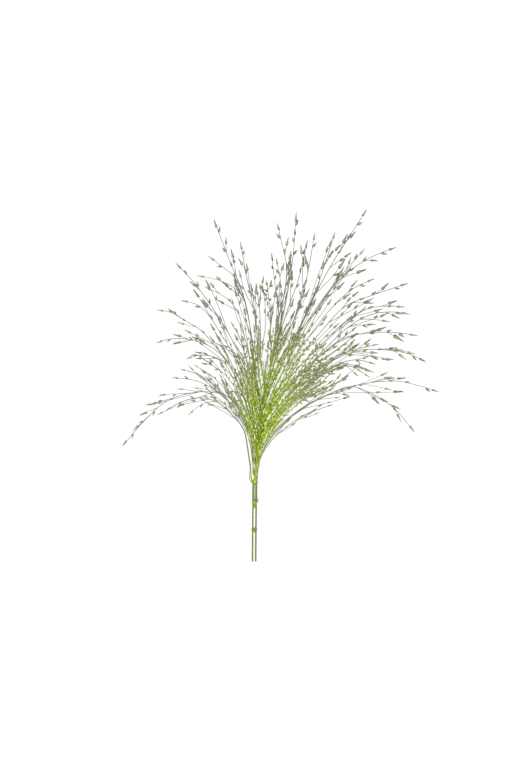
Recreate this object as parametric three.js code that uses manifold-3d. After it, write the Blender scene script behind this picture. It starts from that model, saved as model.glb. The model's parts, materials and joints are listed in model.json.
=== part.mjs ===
// One cut stem of fountain panic grass, lying on its side. Sizes are in millimetres.
// +Y runs up the stem, +X is to its right, and z = 0 is the table that it lies on.
import * as THREE from "three";
import Module from "manifold-3d";

const wasm = await Module();
wasm.setup();

// The culm, which is the cut stem, and the rachis that runs on from it through the panicle
const CULM_RADIUS = 2.05;
const SHEATHED_RADIUS = 2.2; // the top stretch of the culm, where a leaf sheath still wraps it
const JOINT_SWELLING = 0.3;
const JOINT_SHOULDER = 0.8; // half the length of a joint's fullest part
const JOINT_REACH = 2.4; // half the length of the whole swelling
const JOINTS = [-129.7, -105.9, -86.7]; // y of each swollen joint, the last at the panicle's foot
const RACHIS_FOOT_RADIUS = 1.3;
const RACHIS_TIP_RADIUS = 0.45;
const RACHIS_ROOT = -90; // the rachis starts below the top joint, inside the culm
const CULM_SIDES = 12;
const RACHIS_SIDES = 6;
const RACHIS_STEP = 12;

// The middle line of culm and rachis, from the cut end to the top spikelet: x, y, z
const AXIS = [
  [-23.8, -158.6, 2.05],
  [-23.6, -130, 7.3],
  [-23.3, -105.8, 11.8],
  [-23, -86.4, 15.4],
  [-21.2, -62.6, 19.6],
  [-18, -35.6, 24.2],
  [-14, -8.6, 28.5],
  [-8.6, 18.5, 32.5],
  [-2.3, 42.8, 36],
  [3.2, 68, 39],
  [7.7, 92.3, 41.5],
  [11.3, 117.5, 43],
  [14.1, 156.1, 44],
];

// Branches, twigs and spikelets
const BRANCH_FOOT_RADIUS = 0.6;
const BRANCH_END_RADIUS = 0.42;
const TAPER_SHARE = 0.6; // a branch tapers over this share of its length
const TWIG_RADIUS = 0.4;
const STOUT_RADII = [1.2, 1.3, 1.05, 0.75]; // the swollen foot of the lowest branch, one ring each
const STOUT_RING_STEP = 3.5;
const BRANCH_STEP = 20; // length of one straight stretch
const TWIG_STEP = 17;
const BRANCH_SIDES = 3;
const STOUT_SIDES = 6;
const FREE_FOOT = 0.4; // from a branch's foot to the rachis
const SHOULDER_RISE = 7; // a branch first runs this far along the rachis
const SHOULDER_SPREAD = 0.7; // and moves this far off it
const BUNDLE_SWING = 0.9; // how far a blocked branch's foot may move round the rachis, in radians
const BUNDLE_SHIFT = 0.45; // how far its lower part moves out of the bundle, more with each try
const FOOT_STEP = 1.3; // and the steps by which its foot moves along the rachis
const HEIGHT_EASE = 1.35; // how late along its length a branch rises or falls to its tip's height
const ROOT_RISE = 1.3; // from a twig's or stalk's root in its branch to its full thickness
const LEAVING_ANGLE = 0.42; // between a twig's foot and its parent, in radians
const SPIKELET_RADIUS = 1.15;
const TOP_SPIKELET_LENGTH = 7.5; // with its beak
const SIDE_SPIKELET_LENGTH = 7; // with its beak and short stalk
const SPIKELET_BELLY = 0.4; // how far along a spikelet is widest
const SPIKELET_LEAN = 0.52; // how far a side spikelet's stalk leans off its branch, to 1 along it
const LOWEST_TIP = 1.3; // a spikelet that lies on the table has its middle at this height
const CLEARANCE = 0.25; // between neighbouring sprays
const BUNDLE_TRIES = 60; // how often a blocked primary branch is moved
const SIDE_TRIES = 9; // how often a blocked side branch is moved
const SIDE_STEP = 2.5; // and the steps by which it rises or falls
const TURN_TRIES = 6; // how often a blocked twig or spikelet is turned
const TURN_STEP = 1.1; // and how far each time round its branch, in radians
const GOLDEN_TURN = 2.4; // from one repeat to the next round its stem, in radians
const FIRST_CORNER = [0.4, 0, -1]; // the way the first corner of each limb's section points
const FIRST_SEED = 1000; // the random draws of each spray have a seed of their own
const FUSING_TOLERANCE = 0.02; // edges smaller than this go when a spray is fused

// How twigs and spikelets are spread along a limb. A pair is the least and the most of a random draw.
const TWIG_SPACING = 52; // one twig for so much of a primary branch
const TWIG_ZONE = [0.2, 0.8]; // where along the branch they leave it
const TWIG_SHARE = [0.3, 0.7]; // a twig's length, to that of the branch beyond its foot
const TWIG_SPREAD = [0.14, 0.28]; // how far its tip stands off, to its own length
const SHORTEST_TWIG = 16;
const SPIKELET_SPACING = 16.5;
const BEARING_SHARE = 0.45; // the outer share of a limb that bears spikelets
const LONGEST_BEARING = 48; // and the most that it may be
const BACK_SHARE = [2.3, 3.9]; // how far back a side branch leaves, to the distance that it stands off
const LEAST_BACK = [13, 21];
const FIRST_LEAVING = 0.3; // no side branch leaves before this share of its parent
const SIDE_LIFT = 0.8; // how steeply a side branch may rise or fall from its parent
const HIGHEST_LIFT = 14;

// Each row is a primary branch: the y where it leaves the rachis, the height of its tip above the table,
// its route seen from above out to the tip, and the tips of the side branches that show beside it.
const BRANCHES = {
  left: [
    {
      start: -86.2,
      height: 1.3,
      stout: true,
      route: [
        [-27.2, -80], [-27, -74], [-28.2, -66], [-30, -54], [-33, -40], [-44, -26], [-57, -15],
        [-72, -11], [-90, -15], [-104, -23],
      ],
      sides: [[-83, -27], [-66, -16]],
    },
    {
      start: -77,
      height: 1.3,
      route: [
        [-27, -46], [-31, -34], [-44, -12], [-61, -6], [-82, -7], [-104, -15], [-123, -32], [-143, -55],
      ],
      sides: [[-127, -27], [-119, -18], [-110, -9], [-93, -3]],
    },
    {
      start: -80,
      height: 62,
      route: [[-29, -46], [-39, -27], [-53, -14], [-62, -8], [-74, -4]],
      sides: [[-68, 0], [-70, -9]],
    },
    {
      start: -72,
      height: 40,
      route: [[-28, -45], [-38, -27], [-53, -9], [-72, 3], [-85, 6], [-97, 7]],
      sides: [[-71, 9], [-79, -2]],
    },
    {
      start: -69,
      height: 22,
      route: [[-29, -40], [-40, -22], [-53, -7], [-72, 9], [-91, 15]],
      sides: [[-83, 18]],
    },
    {
      start: -65,
      height: 66,
      route: [[-28, -38], [-38, -18], [-49, -4], [-61, 8], [-78, 19]],
      sides: [[-72, 14]],
    },
    {
      start: -63,
      height: 82,
      route: [[-27, -35], [-36, -11], [-44, 10], [-51, 21], [-61, 26], [-71, 27], [-84, 24]],
      sides: [[-81, 27], [-77, 30], [-70, 30]],
    },
    {
      start: -60,
      height: 104,
      route: [[-27, -36], [-34, -17], [-41, -2], [-49, 9], [-58, 16], [-71, 25]],
      sides: [[-71, 20], [-64, 24], [-54, 20]],
    },
    {
      start: -56,
      height: 36,
      route: [[-27, -29], [-35, -6], [-44, 14], [-54, 28], [-65, 36], [-81, 41], [-98, 42], [-112, 38]],
      sides: [[-97, 46], [-97, 37], [-77, 44], [-64, 45]],
    },
    {
      start: -52,
      height: 20,
      route: [[-26, -26], [-33, -2], [-44, 17], [-57, 33], [-72, 50], [-87, 59], [-99, 66], [-112, 68]],
      sides: [[-101, 69], [-93, 57]],
    },
    {
      start: -49,
      height: 58,
      route: [[-26, -20], [-32, 2], [-42, 27], [-53, 45], [-63, 61], [-74, 72], [-89, 76]],
      sides: [[-78, 86]],
    },
    {
      start: -42,
      height: 1.3,
      route: [[-25, -13], [-33, 18], [-44, 42], [-58, 65], [-69, 81], [-79, 94], [-95, 111]],
      sides: [[-82, 94], [-72, 77]],
    },
    {
      start: -45,
      height: 88,
      route: [[-25, -15], [-30, 5], [-36, 21], [-44, 32], [-51, 36]],
      sides: [[-58, 38]],
    },
    {
      start: -40,
      height: 108,
      route: [[-24, -11], [-27, 5], [-31, 18], [-36, 29], [-43, 40]],
      sides: [[-43, 27], [-34, 44]],
    },
    {
      start: -67,
      height: 10,
      route: [[-28, -40], [-36, -24], [-45, -12], [-53, 5]],
      sides: [[-50, 6]],
    },
    {
      start: -37,
      height: 5,
      route: [[-25, -7], [-28, 12], [-32, 27], [-36, 41], [-45, 58]],
      sides: [[-36, 57]],
    },
    {
      start: -31,
      height: 78,
      route: [[-24, -2], [-28, 25], [-33, 47], [-38, 65], [-46, 76], [-57, 83], [-68, 88]],
      sides: [[-63, 92]],
    },
    {
      start: -22,
      height: 55,
      route: [[-22, 9], [-26, 41], [-30, 68], [-35, 85], [-42, 98], [-53, 107], [-65, 116]],
      sides: [[-75, 98], [-54, 94]],
    },
    {
      start: -26,
      height: 28,
      route: [[-23, 5], [-25, 36], [-30, 66], [-36, 89], [-45, 110], [-53, 131], [-60, 149]],
      sides: [[-49, 134]],
    },
  ],
  top: [
    {
      start: -16,
      height: 72,
      route: [[-20, 14], [-21, 45], [-25, 72], [-30, 95], [-36, 128]],
      sides: [[-38, 114]],
    },
    {
      start: -6,
      height: 100,
      route: [[-18, 21], [-18, 45], [-19, 68], [-22, 91]],
      sides: [[-15, 98], [-27, 84]],
    },
    {
      start: 30,
      height: 74,
      route: [[-1, 63], [4, 86], [5, 108], [0, 131], [-3, 145]],
      sides: [[7, 133]],
    },
    {
      start: 18,
      height: 96,
      route: [[-4, 45], [0, 70], [0, 90], [-4, 113]],
      sides: [[3, 109]],
    },
    {
      start: 12,
      height: 48,
      route: [[-2, 41], [7, 70], [16, 95], [24, 130]],
      sides: [[18, 126]],
    },
    {
      start: -2,
      height: 30,
      route: [[-3, 27], [9, 52], [18, 75], [24, 99], [31, 138]],
      sides: [[22, 117]],
    },
    {
      start: 23,
      height: 108,
      route: [[-9, 45], [-9, 66], [-13, 93]],
      sides: [[-8, 94], [-17, 85]],
    },
    {
      start: -9,
      height: 60,
      route: [[-3, 18], [13, 45], [27, 72], [36, 98], [49, 138]],
      sides: [[54, 126]],
    },
  ],
  right: [
    {
      start: -20,
      height: 1.3,
      route: [[-5, 7], [13, 41], [29, 77], [46, 109], [60, 131], [78, 159]],
      sides: [[68, 139], [64, 120]],
    },
    {
      start: -17,
      height: 84,
      route: [[-4, 12], [15, 43], [34, 72], [48, 91], [75, 122]],
      sides: [[63, 115]],
    },
    {
      start: -27,
      height: 44,
      route: [[-5, -2], [12, 32], [28, 61], [45, 86], [61, 102], [81, 115], [104, 124]],
      sides: [[88, 112], [77, 104]],
    },
    {
      start: -31,
      height: 92,
      route: [[-4, -6], [13, 26], [30, 50], [46, 70], [64, 86], [83, 95]],
      sides: [[68, 94]],
    },
    {
      start: -35,
      height: 24,
      route: [[-5, -9], [14, 21], [36, 48], [58, 71], [85, 82], [115, 92]],
      sides: [[84, 74], [97, 92]],
    },
    {
      start: -38,
      height: 62,
      route: [[-5, -13], [15, 14], [37, 37], [58, 57], [76, 68], [94, 71], [111, 70]],
      sides: [[104, 76]],
    },
    {
      start: -42,
      height: 38,
      route: [[-4, -15], [18, 10], [43, 36], [63, 54], [82, 64], [100, 66], [116, 64]],
      sides: [[107, 60], [98, 57], [86, 55]],
    },
    {
      start: -40,
      height: 104,
      route: [[-4, -13], [14, 7], [30, 22], [45, 34], [67, 52]],
      sides: [[54, 49], [51, 36]],
    },
    {
      start: -47,
      height: 1.3,
      route: [[-4, -22], [18, 5], [37, 28], [56, 42], [76, 47], [100, 48], [124, 45]],
      sides: [[111, 40], [96, 53]],
    },
    {
      start: -44,
      height: 118,
      route: [[-8, -20], [3, -6], [14, 6], [28, 19]],
      sides: [[22, 21], [34, 14]],
    },
    {
      start: -51,
      height: 68,
      route: [[-6, -24], [12, -4], [32, 16], [52, 27], [70, 33], [88, 37]],
      sides: [[65, 38], [87, 29]],
    },
    {
      start: -54,
      height: 34,
      route: [[-7, -27], [12, -7], [31, 12], [51, 25], [72, 32], [94, 32], [113, 29], [131, 21]],
      sides: [[121, 28], [105, 34], [113, 23], [98, 22]],
    },
    {
      start: -58,
      height: 100,
      route: [[-8, -33], [9, -15], [25, 1], [39, 13], [60, 20]],
      sides: [[47, 23], [54, 15]],
    },
    {
      start: -60,
      height: 50,
      route: [[-7, -35], [11, -15], [31, 5], [49, 18], [67, 23], [85, 19]],
      sides: [[79, 26], [73, 16]],
    },
    {
      start: -63,
      height: 14,
      route: [[-9, -38], [9, -18], [27, 1], [45, 13], [61, 18], [81, 7]],
      sides: [[70, 8], [84, 12]],
    },
    {
      start: -69,
      height: 80,
      route: [[-12, -47], [2, -29], [20, -13], [38, -3], [59, 6]],
      sides: [[54, 11], [47, 5]],
    },
    {
      start: -65,
      height: 96,
      route: [[-13, -44], [-2, -27], [10, -14], [23, -5], [41, 4]],
      sides: [[36, 7], [29, 4]],
    },
    {
      start: -53,
      height: 6,
      route: [[-9, -33], [2, -19], [14, -10], [33, -9]],
      sides: [[27, -15]],
    },
    {
      start: -74,
      height: 24,
      route: [[-14, -54], [0, -36], [18, -21], [45, -7], [72, 1], [103, 4], [124, 0], [143, -6]],
      sides: [[113, 7], [100, 8], [100, -4]],
    },
    {
      start: -79,
      height: 1.3,
      route: [[-16, -60], [-1, -39], [17, -23], [40, -10], [63, -1], [82, -7], [102, -20], [121, -42]],
      sides: [[109, -33], [89, -17], [62, -9], [54, -11]],
    },
    {
      start: -81,
      height: 18,
      route: [[-17, -65], [-5, -47], [9, -35], [23, -26], [47, -17]],
      sides: [[39, -16], [30, -23], [15, -32]],
    },
  ],
};

const lerp = THREE.MathUtils.lerp;
const backAndForth = (step) => Math.ceil(step / 2) * (step % 2 ? 1 : -1); // 0, 1, -1, 2, -2 and so on
const vector = (x, y, z) => new THREE.Vector3(x, y, z);
const UP = vector(0, 0, 1);

// A repeatable run of random numbers from 0 to 1
function randomFrom(seed) {
  let state = seed;
  return () => {
    state = (state * 16807) % 2147483647;
    return state / 2147483647;
  };
}

// Distances along a line of points
function distancesAlong(line) {
  const far = [0];
  for (let i = 1; i < line.length; i++) far.push(far[i - 1] + line[i].distanceTo(line[i - 1]));
  return far;
}

const lengthOf = (line) => distancesAlong(line).at(-1);

function pointAt(line, distance) {
  const far = distancesAlong(line);
  const wanted = THREE.MathUtils.clamp(distance, 0, far.at(-1));
  let i = 1;
  while (i < line.length - 1 && far[i] < wanted) i++;
  return line[i - 1].clone().lerp(line[i], (wanted - far[i - 1]) / (far[i] - far[i - 1]));
}

function directionAt(line, distance, reach = 5) {
  return pointAt(line, distance + reach).sub(pointAt(line, distance - reach)).normalize();
}

function smoothLine(points) {
  return new THREE.CatmullRomCurve3(points, false, "centripetal").getPoints(20 * points.length);
}

// Two directions across a given one
function acrossFrom(along, wish) {
  const side = wish.clone().addScaledVector(along, -wish.dot(along)).normalize();
  return [side, vector(0, 0, 0).crossVectors(along, side)];
}

function turned(along, wish, angle) {
  const [side, across] = acrossFrom(along, wish);
  return side.multiplyScalar(Math.cos(angle)).addScaledVector(across, Math.sin(angle));
}

// A direction that leans by an angle from a given one towards another
function turnedTo(along, wish, angle) {
  const [side] = acrossFrom(along, wish);
  return along.clone().multiplyScalar(Math.cos(angle)).addScaledVector(side, Math.sin(angle));
}

const axisLine = smoothLine(AXIS.map((p) => vector(...p)));

function axisAt(y) {
  let i = 1;
  while (i < axisLine.length - 1 && axisLine[i].y < y) i++;
  const [a, b] = [axisLine[i - 1], axisLine[i]];
  return a.clone().lerp(b, (y - a.y) / (b.y - a.y));
}

const axisDirection = (y) => axisAt(y + 2).sub(axisAt(y - 2)).normalize();

const TOP_Y = AXIS.at(-1)[1];
const PANICLE_FOOT = JOINTS.at(-1);

function axisRadius(y) {
  if (y < PANICLE_FOOT + JOINT_REACH) return SHEATHED_RADIUS + JOINT_SWELLING;
  return lerp(RACHIS_FOOT_RADIUS, RACHIS_TIP_RADIUS, (y - PANICLE_FOOT) / (TOP_Y - PANICLE_FOOT));
}

// The shortest distance between two straight stretches
function distanceBetween(p, q) {
  const d1 = p.to.clone().sub(p.from);
  const d2 = q.to.clone().sub(q.from);
  const r = p.from.clone().sub(q.from);
  const a = d1.dot(d1);
  const e = d2.dot(d2);
  const f = d2.dot(r);
  const c = d1.dot(r);
  const b = d1.dot(d2);
  const unit = (value) => THREE.MathUtils.clamp(value, 0, 1);
  const level = a * e - b * b;
  let s = level > 1e-9 ? unit((b * f - c * e) / level) : 0;
  const t = unit((b * s + f) / e);
  s = unit((b * t - c) / a);
  return r.addScaledVector(d1, s).addScaledVector(d2, -t).length();
}

// Every straight stretch of every limb placed so far
const placed = [];

function stretchesOf(rings, spray) {
  return rings.slice(1).map((ring, i) => {
    const from = rings[i].centre;
    const to = ring.centre;
    const middle = from.clone().lerp(to, 0.5);
    const radius = Math.max(rings[i].radius, ring.radius);
    return { from, to, middle, radius, reach: from.distanceTo(to) / 2 + radius, spray };
  });
}

// A limb's foot stands in its own spray, so only its last stretch is kept clear of that one.
function isClear(rings, spray) {
  const stretches = stretchesOf(rings, spray);
  return stretches.every((mine) =>
    placed.every((other) => {
      if (other.spray === spray && mine !== stretches.at(-1)) return true;
      if (mine.middle.distanceTo(other.middle) > mine.reach + other.reach + CLEARANCE) return true;
      return distanceBetween(mine, other) > mine.radius + other.radius + CLEARANCE;
    }),
  );
}

// A limb is a row of rings; it is kept where it is clear of every other spray.
function place(limb) {
  if (!isClear(limb.rings, limb.spray)) return false;
  placed.push(...stretchesOf(limb.rings, limb.spray));
  return true;
}

// The first of several tries that fits
function firstThatFits(tries, make) {
  for (let attempt = 0; attempt < tries; attempt++) {
    const limb = make(attempt);
    if (place(limb)) return limb;
  }
  return null;
}

// Nothing reaches below the table.
function aboveTable(rings) {
  return rings.map(({ centre, radius }) => {
    const low = Math.max(radius, radius > 0 ? 0 : 0.2);
    return { centre: vector(centre.x, centre.y, Math.max(centre.z, low)), radius };
  });
}

function ringsAlong(line, steps, radiusAt, length) {
  const neck = lengthOf(line) - length;
  const rings = [];
  for (let i = 0; i <= steps; i++) {
    const far = (neck * i) / steps;
    rings.push({ centre: pointAt(line, far), radius: radiusAt(far) });
  }
  rings.push({ centre: pointAt(line, neck + SPIKELET_BELLY * length), radius: SPIKELET_RADIUS });
  rings.push({ centre: pointAt(line, neck + length), radius: 0 });
  return rings;
}

// A primary branch leaves the rachis on the side that its tip lies on. Each further try shifts its lower part
// a little further out of the bundle, each time another way.
function primaryLine(row, attempt) {
  const start = row.start + FOOT_STEP * backAndForth(attempt % 7);
  const foot = axisAt(start);
  const along = axisDirection(start);
  const tip = vector(...row.route.at(-1), row.height);
  const out = turned(along, tip.clone().sub(foot), BUNDLE_SWING * Math.sin(attempt * GOLDEN_TURN));
  const shift = turned(along, out, attempt * GOLDEN_TURN).multiplyScalar(BUNDLE_SHIFT * Math.sqrt(attempt));
  const footRadius = row.stout ? Math.max(...STOUT_RADII) : BRANCH_FOOT_RADIUS;
  const base = foot.clone().addScaledVector(out, axisRadius(start) + footRadius + FREE_FOOT);
  const shoulder = base.clone().addScaledVector(along, SHOULDER_RISE).addScaledVector(out, SHOULDER_SPREAD);
  const flat = [new THREE.Vector2(shoulder.x, shoulder.y), ...row.route.map((p) => new THREE.Vector2(...p))];
  const far = distancesAlong(flat);
  const route = row.route.map(([x, y], i) => {
    const share = far[i + 1] / far.at(-1);
    const z = lerp(shoulder.z, row.height, Math.pow(share, HEIGHT_EASE));
    return vector(x, y, z).addScaledVector(shift, 1 - share);
  });
  return smoothLine(row.stout ? [base, ...route] : [base, shoulder, ...route]);
}

function stoutRadius(far) {
  const ring = far / STOUT_RING_STEP;
  const i = Math.min(Math.floor(ring), STOUT_RADII.length - 2);
  const near = lerp(STOUT_RADII[i], STOUT_RADII[i + 1], Math.min(ring - i, 1));
  return lerp(near, BRANCH_END_RADIUS, THREE.MathUtils.clamp((far - 12) / 90, 0, 1));
}

function primary(row, spray, attempt) {
  const line = primaryLine(row, attempt);
  const length = lengthOf(line);
  const taper = TAPER_SHARE * length;
  const radiusAt = (far) => lerp(BRANCH_FOOT_RADIUS, BRANCH_END_RADIUS, Math.min(far / taper, 1));
  const steps = Math.round(length / BRANCH_STEP);
  let rings = ringsAlong(line, steps, row.stout ? stoutRadius : radiusAt, TOP_SPIKELET_LENGTH);
  if (row.stout) {
    const swollen = STOUT_RADII.map((radius, i) => ({ centre: pointAt(line, i * STOUT_RING_STEP), radius }));
    rings = [...swollen, ...rings.slice(1)];
  }
  return { spray, rings: aboveTable(rings), sides: row.stout ? STOUT_SIDES : BRANCH_SIDES };
}

// A side branch or twig leaves its parent at a small angle and bends towards its own tip.
function twig(parent, from, tip) {
  const line = parent.rings.map((ring) => ring.centre);
  const root = pointAt(line, from);
  const leaving = turnedTo(directionAt(line, from), tip.clone().sub(root), LEAVING_ANGLE);
  const bend = root.clone().addScaledVector(leaving, 0.45 * root.distanceTo(tip));
  const path = new THREE.QuadraticBezierCurve3(root, bend, tip).getPoints(24);
  const steps = Math.max(1, Math.round((lengthOf(path) - TOP_SPIKELET_LENGTH) / TWIG_STEP));
  const rings = ringsAlong(path, steps, () => TWIG_RADIUS, TOP_SPIKELET_LENGTH);
  rings[0].radius = 0;
  rings.splice(1, 0, { centre: pointAt(path, ROOT_RISE), radius: TWIG_RADIUS });
  return { spray: parent.spray, rings: aboveTable(rings), sides: BRANCH_SIDES };
}

function nearestOnPlan(line, x, y) {
  const length = lengthOf(line);
  let best = { far: 0, gap: Infinity };
  for (let far = 0; far <= length; far += 2) {
    const p = pointAt(line, far);
    const gap = Math.hypot(p.x - x, p.y - y);
    if (gap < best.gap) best = { far, gap, z: p.z };
  }
  return best;
}

// A side branch that shows in the picture: its tip is given from above, and its height follows its parent.
function sideBranch(parent, [x, y], random) {
  const line = parent.rings.map((ring) => ring.centre);
  const near = nearestOnPlan(line, x, y);
  const draw = random();
  const back = Math.max(lerp(...LEAST_BACK, draw), lerp(...BACK_SHARE, draw) * near.gap);
  const from = Math.max(near.far - back, FIRST_LEAVING * lengthOf(line));
  const lift = lerp(-SIDE_LIFT, SIDE_LIFT, random()) * Math.min(near.gap + 4, HIGHEST_LIFT);
  return firstThatFits(SIDE_TRIES, (attempt) => {
    const height = near.z + lift + SIDE_STEP * backAndForth(attempt);
    return twig(parent, from, vector(x, y, Math.max(height, LOWEST_TIP)));
  });
}

// A twig placed by rule: it bends with its parent, and takes another side of it if it can't fit.
function ruledTwig(parent, share, size, spread, turn) {
  const line = parent.rings.map((ring) => ring.centre);
  const length = lengthOf(line);
  const from = share * length;
  const along = directionAt(line, from);
  const ahead = directionAt(line, from + 0.7 * size);
  return firstThatFits(TURN_TRIES, (attempt) => {
    const side = turned(along, UP, turn + attempt * TURN_STEP);
    const tip = pointAt(line, from)
      .addScaledVector(along, 0.45 * size)
      .addScaledVector(ahead, 0.5 * size)
      .addScaledVector(side, spread * size);
    return twig(parent, from, tip);
  });
}

// A spikelet on a short stalk, close along its branch
function sideSpikelet(parent, from, turn) {
  const line = parent.rings.map((ring) => ring.centre);
  const along = directionAt(line, from, 3);
  const root = pointAt(line, from);
  return firstThatFits(TURN_TRIES, (attempt) => {
    const side = turned(along, UP, turn + attempt * TURN_STEP);
    const lean = along.clone().addScaledVector(side, SPIKELET_LEAN).normalize();
    const at = (far, radius) => ({ centre: root.clone().addScaledVector(lean, far), radius });
    const rings = [
      at(0, 0),
      at(ROOT_RISE, TWIG_RADIUS),
      at(ROOT_RISE + SPIKELET_BELLY * SIDE_SPIKELET_LENGTH, SPIKELET_RADIUS),
      at(SIDE_SPIKELET_LENGTH, 0),
    ];
    return { spray: parent.spray, rings: aboveTable(rings), sides: BRANCH_SIDES };
  });
}

function twigsOf(parent, random) {
  const length = lengthOf(parent.rings.map((ring) => ring.centre));
  const count = Math.round(length / TWIG_SPACING);
  const made = [];
  let turn = random() * 6;
  for (let i = 0; i < count; i++) {
    const share = lerp(...TWIG_ZONE, (i + random()) / count);
    const size = Math.max((1 - share) * length * lerp(...TWIG_SHARE, random()), SHORTEST_TWIG);
    turn += GOLDEN_TURN;
    made.push(ruledTwig(parent, share, size, lerp(...TWIG_SPREAD, random()), turn));
  }
  return made.filter(Boolean);
}

function spikeletsOf(parent, random) {
  const length = lengthOf(parent.rings.map((ring) => ring.centre));
  const bearing = Math.min(BEARING_SHARE * length, LONGEST_BEARING);
  const count = Math.round(bearing / SPIKELET_SPACING);
  const made = [];
  let turn = random() * 6;
  for (let i = 0; i < count; i++) {
    const from = length - TOP_SPIKELET_LENGTH - bearing * ((i + 0.25 + 0.5 * random()) / count);
    turn += GOLDEN_TURN;
    made.push(sideSpikelet(parent, Math.max(from, 4), turn));
  }
  return made.filter(Boolean);
}

// The culm's own rings, swollen at each joint
function culmRings() {
  const rings = [[AXIS[0][1], CULM_RADIUS]];
  let below = CULM_RADIUS;
  JOINTS.forEach((y, i) => {
    const above = i === 0 ? CULM_RADIUS : SHEATHED_RADIUS;
    rings.push([y - JOINT_REACH, below]);
    rings.push([y - JOINT_SHOULDER, below + JOINT_SWELLING]);
    rings.push([y + JOINT_SHOULDER, above + JOINT_SWELLING]);
    rings.push([y + JOINT_REACH, i === JOINTS.length - 1 ? RACHIS_FOOT_RADIUS : above]);
    below = above;
  });
  return rings.map(([y, radius]) => ({ centre: axisAt(y), radius }));
}

function rachisRings() {
  const line = axisLine.filter((p) => p.y > RACHIS_ROOT);
  const steps = Math.round((lengthOf(line) - TOP_SPIKELET_LENGTH) / RACHIS_STEP);
  const radiusAt = (far) => axisRadius(Math.max(pointAt(line, far).y, PANICLE_FOOT + JOINT_REACH));
  return ringsAlong(line, steps, radiusAt, TOP_SPIKELET_LENGTH);
}

// A closed tube through rings; a ring of radius 0 is a point.
function sweep({ rings, sides }) {
  const positions = [];
  const loops = [];
  let side = vector(...FIRST_CORNER);
  rings.forEach(({ centre, radius }, i) => {
    const before = rings[Math.max(i - 1, 0)].centre;
    const after = rings[Math.min(i + 1, rings.length - 1)].centre;
    const along = after.clone().sub(before).normalize();
    const across = acrossFrom(along, side);
    side = across[0];
    const loop = [];
    for (let k = 0; k < (radius > 0 ? sides : 1); k++) {
      const angle = (2 * Math.PI * k) / sides;
      const corner = centre
        .clone()
        .addScaledVector(side, radius * Math.cos(angle))
        .addScaledVector(across[1], radius * Math.sin(angle));
      loop.push(positions.length / 3);
      positions.push(corner.x, corner.y, corner.z);
    }
    loops.push(loop);
  });
  const faces = [];
  for (let i = 1; i < loops.length; i++) {
    for (let k = 0; k < sides; k++) {
      const [a, b] = [loops[i - 1][k], loops[i - 1][(k + 1) % sides]];
      const [d, c] = [loops[i][k], loops[i][(k + 1) % sides]];
      if (loops[i - 1].length === 1) faces.push(loops[i - 1][0], c, d);
      else if (loops[i].length === 1) faces.push(a, b, loops[i][0]);
      else faces.push(a, b, c, a, c, d);
    }
  }
  const [first, last] = [loops[0], loops.at(-1)];
  for (let k = 1; k + 1 < first.length; k++) faces.push(first[0], first[k + 1], first[k]);
  for (let k = 1; k + 1 < last.length; k++) faces.push(last[0], last[k], last[k + 1]);
  return solidFrom(positions, faces);
}

function solidFrom(positions, faces) {
  const vertProperties = new Float32Array(positions);
  const triVerts = new Uint32Array(faces);
  return new wasm.Manifold(new wasm.Mesh({ numProp: 3, vertProperties, triVerts }));
}

function fused(solids) {
  const mesh = wasm.Manifold.union(solids).simplify(FUSING_TOLERANCE).getMesh();
  const geometry = new THREE.BufferGeometry();
  geometry.setAttribute("position", new THREE.BufferAttribute(mesh.vertProperties, 3));
  geometry.setIndex(new THREE.BufferAttribute(mesh.triVerts, 1));
  geometry.computeVertexNormals();
  return geometry;
}

// The torn edge of the leaf sheath at the middle joint: a thin scale, wide at its foot and pointed at its top
const FLAP = { y: -107.6, height: 6.2, thickness: 0.6, gap: 0.35, flare: 1.1, halfWidth: 1.15, steps: 5 };

function sheathFlap() {
  const centre = axisAt(FLAP.y);
  const along = axisDirection(FLAP.y);
  const [right, up] = acrossFrom(along, vector(1, 0, 0));
  const positions = [];
  for (const outer of [0, 1]) {
    for (let row = 0; row <= FLAP.steps; row++) {
      const share = row / FLAP.steps;
      const radius =
        SHEATHED_RADIUS + JOINT_SWELLING + FLAP.gap + FLAP.flare * share * share + outer * FLAP.thickness;
      for (let column = -1; column <= 1; column++) {
        const angle = 0.35 + column * FLAP.halfWidth * (1 - 0.85 * share);
        const p = centre
          .clone()
          .addScaledVector(along, FLAP.height * share)
          .addScaledVector(right, radius * Math.cos(angle))
          .addScaledVector(up, radius * Math.sin(angle));
        positions.push(p.x, p.y, p.z);
      }
    }
  }
  return fused([solidFrom(positions, platesBetween(FLAP.steps + 1, 3))]);
}

// Faces of a thin plate: an inner grid, an outer grid and the rim between them
function platesBetween(rows, columns) {
  const faces = [];
  const shift = rows * columns;
  const quad = (a, b, c, d) => faces.push(a, b, c, a, c, d);
  for (let r = 0; r + 1 < rows; r++) {
    for (let c = 0; c + 1 < columns; c++) {
      const a = r * columns + c;
      quad(a, a + columns, a + columns + 1, a + 1);
      quad(a + shift, a + shift + 1, a + shift + columns + 1, a + shift + columns);
    }
    const [left, right] = [r * columns, (r + 1) * columns - 1];
    quad(left, left + shift, left + shift + columns, left + columns);
    quad(right, right + columns, right + shift + columns, right + shift);
  }
  for (let c = 0; c + 1 < columns; c++) {
    const top = shift - columns + c;
    quad(c, c + 1, c + 1 + shift, c + shift);
    quad(top, top + shift, top + shift + 1, top + 1);
  }
  return faces;
}

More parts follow.
